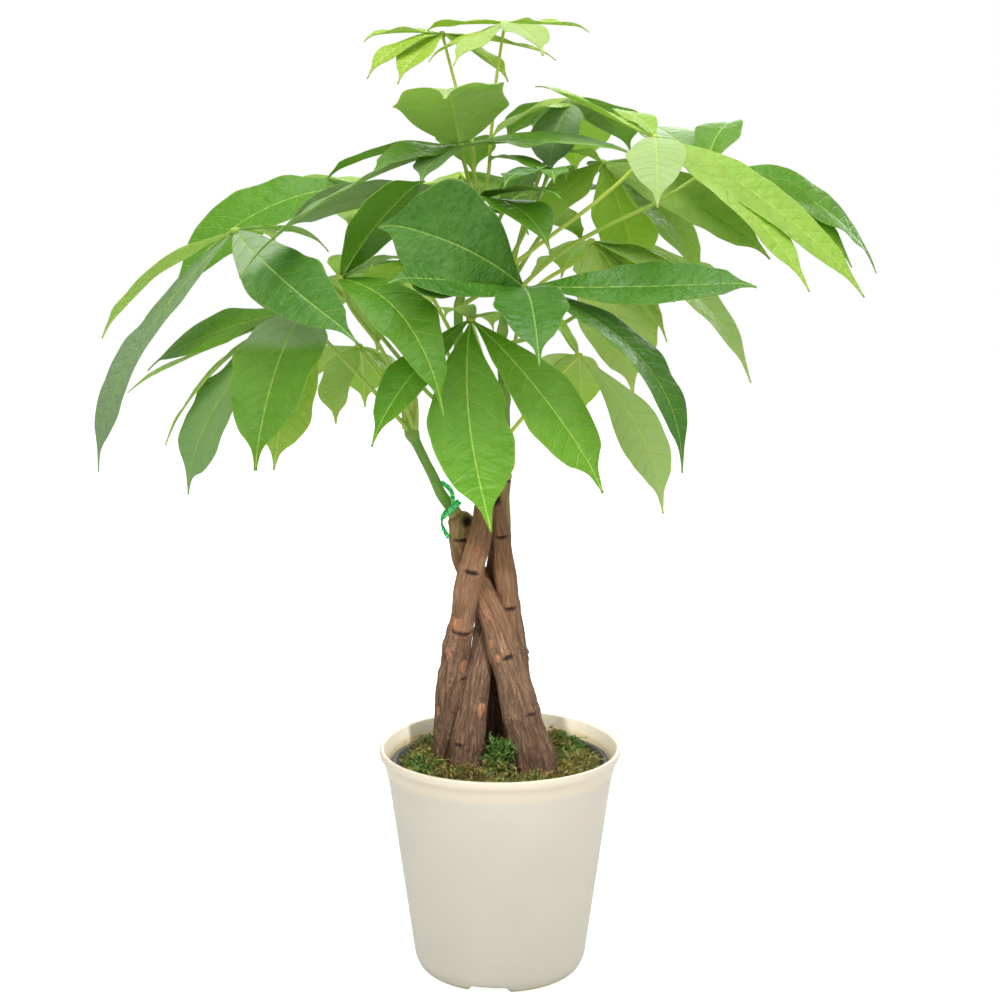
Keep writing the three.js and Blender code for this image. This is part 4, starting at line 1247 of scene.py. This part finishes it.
def bend_threads(starts, ways, lengths):
    """The middle of each sprig, row by row: it leans, droops and curls, and stays low and inside the pot."""
    ways = ways / np.linalg.norm(ways, axis=1)[:, None]
    bend = moss_draw.normal(0, 0.55, ways.shape) - (0, 0, sprig_droop)
    rows = np.linspace(0, 1, sprig_rows)
    reach = lengths[:, None, None] * rows[:, None]
    middle = starts[:, None] + ways[:, None] * reach + bend[:, None] * reach * rows[:, None] * 0.7
    curl = moss_draw.uniform(0, 6.3, (len(starts), 1))
    middle[..., 0] += sprig_curl * rows * np.sin(rows * 8 + curl)
    middle[..., 2] += sprig_curl * rows * np.cos(rows * 8 + curl)
    rise = middle[..., 2] - starts[:, None, 2]
    low_rise = np.where(rise > 0, sprig_rise * np.tanh(rise / sprig_rise), rise)
    middle[..., 2] = starts[:, None, 2] + low_rise
    beyond = np.maximum(1, np.hypot(middle[..., 0], middle[..., 1]) / sprig_limit)
    middle[..., :2] /= beyond[..., None]
    return middle


def sprig_marks(tones, reach, points):
    """Marks for each point: the tone of its sprig, how far along it lies, and how dry the sprig is."""
    look = np.broadcast_arrays(tones[:, None, None, 0], reach[:, None], tones[:, None, None, 1])
    return np.broadcast_to(np.stack(look, -1), points.shape)


def add_threads(form, middle, tones):
    """A three-sided tube along the middle of each sprig."""
    rows = np.linspace(0, 1, sprig_rows)
    ring = np.array([[1, 0, 0], [-0.5, 0.87, 0], [-0.5, -0.87, 0]])
    thread = middle[:, :, None] + ring * (0.75 - 0.5 * rows)[:, None, None]
    base = np.arange(len(middle))[:, None] * sprig_rows * 3
    thread_faces = (grid_faces(sprig_rows, 3, closed=True)[None] + base[..., None]).reshape(-1, 4)
    caps = np.concatenate([base + [2, 1, 0], base + np.array([0, 1, 2]) + (sprig_rows - 1) * 3])
    form.add(thread, [thread_faces, caps], sprig_look=sprig_marks(tones, rows, thread))


def add_sprig_leaves(form, middle, tones):
    """Small pyramids that stand out from each sprig, each turned on from the one below it."""
    count = len(middle)
    spots = np.linspace(0.12, 0.98, sprig_leaves)
    step = spots * (sprig_rows - 1)
    low = np.minimum(step.astype(int), sprig_rows - 2)
    part = (step - low)[:, None]
    feet = middle[:, low] * (1 - part) + middle[:, low + 1] * part
    along = middle[:, low + 1] - middle[:, low]
    along /= np.linalg.norm(along, axis=-1)[..., None]
    swing = moss_draw.uniform(0, 6.3, (count, 1)) + np.arange(sprig_leaves) * 2.4
    out = np.stack([np.cos(swing), np.sin(swing), 0.3 * np.ones_like(swing)], -1)
    size = sprig_leaf * (1 - 0.45 * spots)[:, None] * moss_draw.uniform(0.7, 1.25, (count, sprig_leaves, 1))
    tips = feet + (out + 0.9 * along) / 1.3 * size
    wide = np.cross(out, along) * 0.75
    broad = feet + (tips - feet) * 0.4
    pyramids = np.stack([feet, broad + wide, broad - wide, tips], 2)
    first = np.arange(count * sprig_leaves)[:, None] * 4
    sides = np.concatenate([first + side for side in ([0, 2, 1], [0, 1, 3], [1, 2, 3], [2, 0, 3])])
    form.add(pyramids, [sides], sprig_look=sprig_marks(tones, spots, pyramids))


def plant_sprigs(name, starts, ways, lengths, tones):
    """Sprigs from their starts along their ways, as one piece."""
    middle = bend_threads(starts, ways, lengths)
    form = Form()
    add_threads(form, middle, tones)
    add_sprig_leaves(form, middle, tones)
    make_piece(form, name, "moss", [moss_finish])


print("each sprig has", sprig_leaves, "leaves")

# %% Plant the bed
sprig_count = 2300
sprig_length = (5, 11)
# Where the moss is fresh and bluish green: across, back and reach
fresh_places = np.array([(54, 34, 15), (-54, -20, 12), (-23, -50, 5), (12, 52, 13), (-34, 38, 13)])
# A dryness of -1 marks a fresh sprig, and one near 1 marks straw
fresh_mark = -1
straw_mark = 0.95

angle = moss_draw.uniform(0, 2 * math.pi, sprig_count * 2)
radius = np.sqrt(moss_draw.uniform(0.02, 1, sprig_count * 2)) * (moss_reach - 0.5)
starts = np.stack([radius * np.cos(angle), radius * np.sin(angle), np.zeros_like(angle)], -1)
starts = starts[clear_of_trunks(starts)][:sprig_count]
starts[:, 2] = soil_level + moss_level(starts) - 0.5
ways = moss_draw.normal(0, 0.6, (len(starts), 3))
ways[:, 2] = moss_draw.uniform(0.05, 0.75, len(starts))
near_wall = np.hypot(starts[:, 0], starts[:, 1]) / moss_reach
ways[:, :2] -= starts[:, :2] / moss_reach * np.clip(near_wall - 0.8, 0, 1)[:, None] * 2
lengths = moss_draw.uniform(*sprig_length, len(starts))
tones = moss_draw.uniform(0, 1, (len(starts), 2))
from_fresh = np.hypot(starts[:, :1] - fresh_places[:, 0], starts[:, 1:2] - fresh_places[:, 1])
is_fresh = (from_fresh < fresh_places[:, 2] * (0.8 + 0.4 * tones[:, :1])).any(1)
tones[is_fresh, 1] = fresh_mark
sector = np.degrees(np.arctan2(starts[:, 1], starts[:, 0]))
sectors = {"moss_right": (sector > -50) & (sector <= 80), "moss_left": (sector > 80) | (sector <= -170)}
sectors["moss_front"] = ~sectors["moss_right"] & ~sectors["moss_left"]
for name, chosen in sectors.items():
    plant_sprigs(name, starts[chosen], ways[chosen], lengths[chosen], tones[chosen])
print("sprigs on the bed:", len(starts))

# %% Plant the tuft between the trunks, fresh at its top
tuft_count = 230
tuft_middle = (0.5, -25, 0)
tuft_spread = (3.6, 3.0, 0)
tuft_foot = 4
tuft_height = 26
tuft_length = (4, 7)

tuft = moss_draw.normal(0, 1, (tuft_count, 3)) * tuft_spread + tuft_middle
tuft[:, 2] = soil_level + tuft_foot + moss_draw.uniform(0, tuft_height, tuft_count)
tuft_ways = moss_draw.normal(0, 0.5, (tuft_count, 3)) + (0, -0.5, 0.35)
tuft_tones = moss_draw.uniform(0, 1, (tuft_count, 2)) * (1, 0.8)
is_top = tuft[:, 2] + 9 * tuft_tones[:, 0] > soil_level + 9 + 0.6 * tuft_height
tuft_tones[is_top, 1] = fresh_mark
plant_sprigs("moss_tuft", tuft, tuft_ways, moss_draw.uniform(*tuft_length, tuft_count), tuft_tones)
print("sprigs in the tuft:", tuft_count)

# %% Lay the straw-coloured threads at the front
straw_count = 90
straw_middle = (-20, -46, 0)
straw_spread = (8, 4.5, 0)
straw_length = (6, 12)

straw = moss_draw.normal(0, 1, (straw_count, 3)) * straw_spread + straw_middle
straw[:, 2] = soil_level + moss_level(straw) + moss_draw.uniform(0, 4, straw_count)
straw_ways = moss_draw.normal(0, 0.7, (straw_count, 3)) + (0, 0, 0.5)
straw_tones = moss_draw.uniform(0.4, 1, (straw_count, 2)) * (1, 0) + (0, straw_mark)
plant_sprigs("moss_straw", straw, straw_ways, moss_draw.uniform(*straw_length, straw_count), straw_tones)
print("straw threads:", straw_count)

# %% [markdown]
# ## Leaf skins
# A money tree's leaflet is glossy above, with a soft grey sheen from the sky, and pale and matt
# below. Light comes through it, and that is why the back of the crown glows. The midrib is yellowish,
# side veins run out in slanted pairs, and a fine net lies between. Lines that thin would need a huge
# mesh, so the mesh only keeps each point's place between the veins as marks, and the finish draws
# them. Four greens, from fresh lime at the top to deep green below, share one recipe. Some leaflets
# carry more grey sheen painted into their colour, a painted reflection.

# %% Mix the four greens
# Each green: bright, deep, the pale underside, the veins, the light that comes through, and its share
leaf_paints = {
    "young": ((192, 216, 84), (160, 200, 60), (188, 214, 134), (216, 228, 134), (204, 228, 60), 0.42),
    "light": ((188, 217, 102), (154, 196, 76), (196, 222, 134), (216, 228, 126), (200, 234, 74), 0.44),
    "mid": ((118, 166, 44), (78, 138, 26), (168, 198, 94), (180, 212, 92), (160, 222, 14), 0.36),
    "dark": ((88, 144, 34), (42, 102, 14), (136, 168, 74), (150, 190, 84), (112, 194, 8), 0.22),
}
# The colour of the painted sheen, a painted reflection of the sky on some leaflets.
sheen_grey = paint(178, 198, 160)
vein_depth = 0.36
net_depth = 0.03
crease_depth = 1.9


def leaf_skin(name, bright, deep, below, vein, glow, light_share):
    skin = Finish(name, Specular_IOR_Level=0.36)
    between_veins, from_rib, from_middle = skin.split(skin.marks("blade_lines"))
    underside, bloom, tone = skin.split(skin.marks("blade_look"))
    spot = skin.marks("blade_place")
    mottle = skin.grain(spot, (0.05, 0.035, 1))
    speck = skin.grain(spot, (0.5, 0.5, 1))
    crease = skin.grain(spot, (0.11, 0.17, 1), 2)
    net = skin.fade(skin.cells(skin.stretch(spot, (0.42, 0.42, 1)), 1.0), 0.0, 0.09, 1.0, 0.0)
    side_vein = skin.fade(skin.calc("PINGPONG", between_veins, 0.5), 0.02, 0.06, 1.0, 0.0)
    rib = skin.fade(from_rib, 0.4, 0.85, 1.0, 0.0)
    mottled = skin.fade(mottle, 0.3, 0.7)
    specks = skin.times(skin.fade(speck, 0.5, 0.75), 0.16)
    bright_share = skin.calc("ADD", skin.times(tone, 0.75), skin.times(mottled, 0.25))
    above_colour = skin.blend(specks, skin.blend(bright_share, deep, bright), below)
    below_colour = skin.blend(skin.times(mottled, 0.3), below, bright)
    colour = skin.blend(underside, above_colour, below_colour)
    # Painted sheen: a painted reflection, grey over the leaflet's own green.
    colour = skin.blend(bloom, colour, sheen_grey)
    side_share = skin.times(side_vein, skin.fade(mottle, 0.3, 0.7, 0.2, 0.5))
    colour = skin.blend(skin.calc("MAXIMUM", side_share, skin.times(net, 0.07)), colour, vein)
    colour = skin.blend(skin.times(rib, 0.85), colour, vein)
    colour = skin.blend(skin.times(skin.fade(from_middle, 0.955, 0.985), 0.35), colour, vein)
    skin.colour(colour)
    gloss = skin.calc("ADD", skin.times(underside, 0.2), skin.fade(mottle, 0.35, 0.65, 0.29, 0.42))
    skin.feed(skin.shader.inputs["Roughness"], skin.calc("MULTIPLY_ADD", speck, 0.12, gloss))
    quilt = skin.calc("ADD", skin.times(side_vein, vein_depth), skin.times(net, net_depth))
    skin.relief(skin.calc("SUBTRACT", skin.times(crease, crease_depth), quilt), 0.001)
    skin.let_light_through(skin.blend(0.55, colour, glow), light_share)
    return skin


greens = {
    name: leaf_skin(name + "_leaf", *(paint(*tone) for tone in tones), light_share)
    for name, (*tones, light_share) in leaf_paints.items()
}
print("leaf greens mixed:", ", ".join(greens))

# %% Mix the green of the stalks
stalk_greens = (paint(112, 160, 44), paint(206, 222, 86))
stalk_pale = paint(190, 204, 120)
stalk_joint = paint(150, 182, 70)

stalk_skin = Finish("leaf_stalk", Roughness=0.45, Specular_IOR_Level=0.4)
stalk_tone, at_joint, _ = stalk_skin.split(stalk_skin.marks("stalk_look"))
streak_share = stalk_skin.fade(stalk_skin.grain(stalk_skin.place(), (700, 700, 90), 2), 0.4, 0.75, 0.0, 0.35)
stalk_colour = stalk_skin.blend(streak_share, stalk_skin.blend(stalk_tone, *stalk_greens), stalk_pale)
stalk_skin.colour(stalk_skin.blend(stalk_skin.times(at_joint, 0.4), stalk_colour, stalk_joint))
print("stalk green mixed with", len(stalk_skin.nodes), "nodes")

# %% [markdown]
# ## Stalks and leaflets
# A leaf is a palm: a long stalk, a small knuckle, and four to seven leaflets that spread from it.
# Each leaflet arches along a quadratic curve from the knuckle to its tip, is folded a little along
# its midrib and waves at its edges. One closed sheet of two skins is swept along that curve. The
# skins bulge between the side veins, the midrib stands out below, and the rim is thin. Some leaflets
# hang with their pale side to the viewer, and some carry a painted grey sheen, a painted reflection.

# %% List the look of each leaflet
# The green of each leaflet in its leaf's order. A leaflet with "back" shows its pale underside to the
# viewer, one with painted sheen carries a painted grey sheen, a painted reflection, and one with foot
# sheen carries it at its foot only.
leaf_looks = {
    "leaf_a": "young, young, young, young, young, young",
    "leaf_b": "young, young back, young back, young, young, young",
    "leaf_c": "light back bloom, mid, mid, mid bloom, mid, mid bloom, mid",
    "leaf_d": "dark, dark, dark, dark, dark",
    "leaf_e": "light, light back bloom, light, light, light",
    "leaf_f": "mid, mid, mid, mid bloom",
    "leaf_g": "dark frost, dark bloom, light, mid, light",
    "leaf_h": "mid frost, mid bloom, light, mid, light back, light",
    "leaf_i": "mid, mid back, mid bloom, light, light",
    "leaf_j": "mid, mid, mid, light back, light back",
    "leaf_k": "light back bloom, light, light back, light",
    "leaf_l": "young back, light, light bloom, light back, light back",
    "leaf_m": "dark, mid, mid, dark",
    "leaf_n": "light, light, light, mid back, light, mid",
    "leaf_o": "mid, dark, dark bloom, mid",
    "leaf_p": "light back, light, light back, light back",
    "leaf_q": "mid, light back, light, light",
    "leaf_r": "light, dark bloom, mid, mid, light",
    "leaf_s": "dark, mid, dark, mid",
    "leaf_t": "mid, mid, light, mid, light",
    "leaf_u": "mid, light, mid, mid, light",
    "leaf_v": "light, light, mid, mid",
}
print("leaflets that show their backs:", sum(row.count("back") for row in leaf_looks.values()))

# %% Helpers that shape one leaflet
hub_grip = 1.9
plain_leaflet = [0, 0.5, 0.526]
blade_fold = 6
blade_wave = 1.4
blade_ripple = 2.3
outline_wobble = 0.11
drip_from = 0.84
drip_droop = 3.2
blade_rib_skin = 0.27
blade_rim_skin = 0.17
blade_step = 2.2
rib_width = 0.95
vein_slant = 0.32
vein_bow = 0.022
vein_gaps = (5, 10.5)
bulge = 0.5
layer_reach = 0.5
# How strong the painted sheen is, and how far up from the foot the painted foot sheen reaches.
painted_sheen_share = 0.42
foot_sheen_share = 0.62
foot_sheen_from = 0.34
foot_sheen_fade = 0.08
half_columns = np.array([0, 0.035, 0.11, 0.26, 0.44, 0.63, 0.82, 0.965, 1])
columns = np.concatenate([-half_columns[:0:-1], half_columns])


def outline(share, crest):
    """Half width of a leaflet as a share of its greatest, from the stalk at 0 to the drip tip at 1."""
    body = np.sin(math.pi * np.power(share, math.log(0.5) / math.log(crest))) ** 0.86
    drip = 1 - 0.5 * np.clip((share - drip_from) / 0.08, 0, 1)
    return np.maximum(0.04, body * drip * (1 - 0.9 * np.maximum(0, share - 0.75)))


def turn_about(vector, axis, degrees):
    """A vector turned about an axis that it is square to."""
    angle = math.radians(degrees)
    return vector * math.cos(angle) + np.cross(axis, vector) * math.sin(angle)


def bend_midrib(hub, tip, lift, roll, sway, bend):
    """The shares of the rows, their places on the midrib, the way across, and the way out at each row."""
    length = np.linalg.norm(tip)
    along = tip / length
    face = np.array([0, 0, 1.0]) - along * along[2]
    face = turn_about(face / np.linalg.norm(face), along, roll)
    side = np.cross(along, face)
    middle = tip * bend + face * 2 * lift + side * 2 * sway
    start = hub_grip / (2 * np.linalg.norm(middle))
    share = np.linspace(start, 1, max(14, round(length / blade_step)))[:, None]
    rib = hub + 2 * share * (1 - share) * middle + share * share * tip
    rib[:, 2:] -= drip_droop * (np.clip(share - drip_from, 0, 1) / (1 - drip_from)) ** 2
    normal = np.cross(side, 2 * (1 - share) * middle + 2 * share * (tip - middle))
    normal /= np.linalg.norm(normal, axis=1)[:, None]
    return share, rib, side, normal


def count_veins(spot, length, seed):
    """A number that grows by one from each side vein to the next. The veins slant and bow outwards."""
    across = np.abs(spot[..., 0])
    spacing = np.clip(length / 12, *vein_gaps)
    straight = (spot[..., 1] - vein_slant * across - vein_bow * across**2) / spacing
    return straight + 0.25 * np.tanh(columns * 20) + 0.16 * ruffle(spot / (9, 14, 1), seed)


def lift_blade(share, spot, veins, width, order, seed, layered):
    """How far each point stands off the plane of the midrib: the fold, the waves and the bulges."""
    across = np.abs(spot[..., 0])
    taper = np.sin(math.pi * share)
    fold = across * math.tan(math.radians(blade_fold))
    edge_wave = blade_wave * columns * np.sin(9 * share + order) * taper
    soft_wave = blade_ripple * width / 40 * columns**2 * ruffle(spot / (30, 15, 1), seed + 5) * taper
    swell = bulge * (1 - np.cos(2 * math.pi * veins)) / 2 * taper * (1 - columns**4)
    tilt = layered * columns * np.exp(-((share / layer_reach) ** 2))
    return fold + edge_wave + soft_wave + swell * np.clip(across / 1.2, 0, 1) + tilt


def look_of_skins(look, tone, share):
    """Marks for the upper and lower skin: whether it is the pale side, its painted grey sheen, and its tone.
    """
    frost = foot_sheen_share * ("frost" in look) * np.clip((foot_sheen_from - share) / foot_sheen_fade, 0, 1)
    sheen = painted_sheen_share * ("bloom" in look) + frost + 0 * columns
    above = np.stack(np.broadcast_arrays(float("back" in look), sheen, tone), -1)
    return above, above * (-1, 1, 1) + (1, 0, 0)


def both_skins(upper, lower):
    """Rows of the upper skin followed by those of the lower skin, back the other way."""
    return np.concatenate([upper, lower[:, ::-1]], 1)


def grow_leaflet(form, hub, row, look, tone, order, seed, layered):
    across, back, up, width, lift, roll, sway, bend, crest = list(row) + plain_leaflet[len(row) - 6:]
    tip = np.array([across, back, up], float)
    length = np.linalg.norm(tip)
    share, rib, side, normal = bend_midrib(hub, tip, lift, roll, sway, bend)
    edges = np.stack(np.broadcast_arrays(share * length / 13, 3.0 * np.sign(columns), float(seed)), -1)
    half_width = outline(share, crest) * width / 2 * (1 + outline_wobble * ruffle(edges, seed + 2))
    x = columns * half_width
    spot = np.stack([x, share * length * np.ones_like(x), np.full_like(x, seed * 3.7)], -1)
    veins = count_veins(spot, length, seed)
    rise = lift_blade(share, spot, veins, width, order, seed, layered)
    rib_size = rib_width * (1 - 0.78 * share) + 0.1
    skin = blade_rib_skin + (blade_rim_skin - blade_rib_skin) * np.abs(columns) ** 1.5
    groove = 0.22 * rib_size * np.exp(-((x / 0.7) ** 2))
    ridge = 0.95 * rib_size * np.exp(-((x / (0.55 + 0.45 * rib_size)) ** 2))
    sheet = rib[:, None] + side * x[..., None]
    top = sheet + normal[:, None] * (rise + skin - groove)[..., None]
    bottom = sheet + normal[:, None] * (rise - skin - ridge)[..., None]
    lines = np.stack([veins, np.abs(x) / (0.35 + 0.6 * rib_size), np.abs(columns) * np.ones_like(x)], -1)
    finish = 1 + list(greens).index(look.split()[0])
    form.add(
        both_skins(top, bottom), tube_faces(len(share), 2 * len(columns)), finish,
        blade_lines=both_skins(lines, lines),
        blade_look=both_skins(*look_of_skins(look, tone, share)),
        blade_place=both_skins(spot, spot),
    )


print("a blade has", len(columns), "columns of points on each skin")

# %% Grow the leaves
# The stalk of each kind of leaf: its radius, the radius of its knuckle, and its tone
stalk_kinds = {
    "young": (1.15, 1.9, 0.95), "light": (1.3, 2.6, 0.75), "mid": (1.4, 2.8, 0.4), "dark": (1.4, 2.8, 0.2),
}
stalk_sides = 14
knuckle_rows = np.linspace(-1, 1, 11)
# Leaves whose leaflets are tilted near the knuckle, so that each lies over the next like a fan
layered_leaves = ("leaf_r", "leaf_s", "leaf_t", "leaf_u", "leaf_v")
layer_lift = 2.6


def grow_stalk(form, places, stalk_radius, hub_size, tone):
    """The stalk, thicker where it joins the shoot and the knuckle, with the knuckle itself."""
    stations = [[*place, stalk_radius] for place in places]
    shares, lengths = even_shares(stations, 2.2)
    middle = curve_through(stations, shares)
    joint = np.exp(-((lengths / 4.5) ** 2)) + 0.7 * np.exp(-(((lengths[-1] - lengths) / 4.0) ** 2))
    radii = stalk_radius * (0.88 + 0.14 * np.cos(2.2 * shares)) + 0.75 * joint
    look = np.stack([np.full_like(shares, tone), joint, np.zeros_like(shares)], -1)
    first_step = middle[1] - middle[0]
    front = (0, -1, 0) if abs(first_step[1]) < 0.8 * np.linalg.norm(first_step) else (1, 0, 0)
    form.add(
        tube(middle, radii, stalk_sides, front), tube_faces(len(shares), stalk_sides),
        stalk_look=look[:, None] * np.ones((1, stalk_sides, 1)),
    )
    knuckle = middle[-1] + np.outer(knuckle_rows, [0, 0, 1]) * hub_size * 0.8
    dome = hub_size * np.sqrt(np.clip(1 - knuckle_rows**2, 0.003, 1))
    form.add(tube(knuckle, dome, 16), tube_faces(len(knuckle_rows), 16), stalk_look=(tone, 1, 0))


leaf_draw = np.random.default_rng(5)
leaf_faces = 0
leaf_finishes = [stalk_skin, *greens.values()]
for number, (name, (green, stalk, leaflets)) in enumerate(leaves.items()):
    form = Form()
    grow_stalk(form, stalk, *stalk_kinds[green])
    hub = np.array(stalk[-1], float)
    layered = layer_lift * (name in layered_leaves)
    for order, (row, look) in enumerate(zip(leaflets, leaf_looks[name].split(", "), strict=True)):
        tone = float(np.clip(leaf_draw.normal(0.5, 0.2), 0, 1))
        grow_leaflet(form, hub, row, look, tone, order, 10 * number + order, layered)
    make_piece(form, name + "_blades", "leaf_" + green, leaf_finishes, name)
    leaf_faces += len(form.faces)
print("leaf faces:", leaf_faces)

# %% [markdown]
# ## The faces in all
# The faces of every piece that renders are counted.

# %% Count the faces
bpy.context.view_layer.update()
shown = [o for o in scene.objects if o.type == "MESH" and not o.hide_render]
print("faces in all:", sum(len(o.data.polygons) for o in shown))
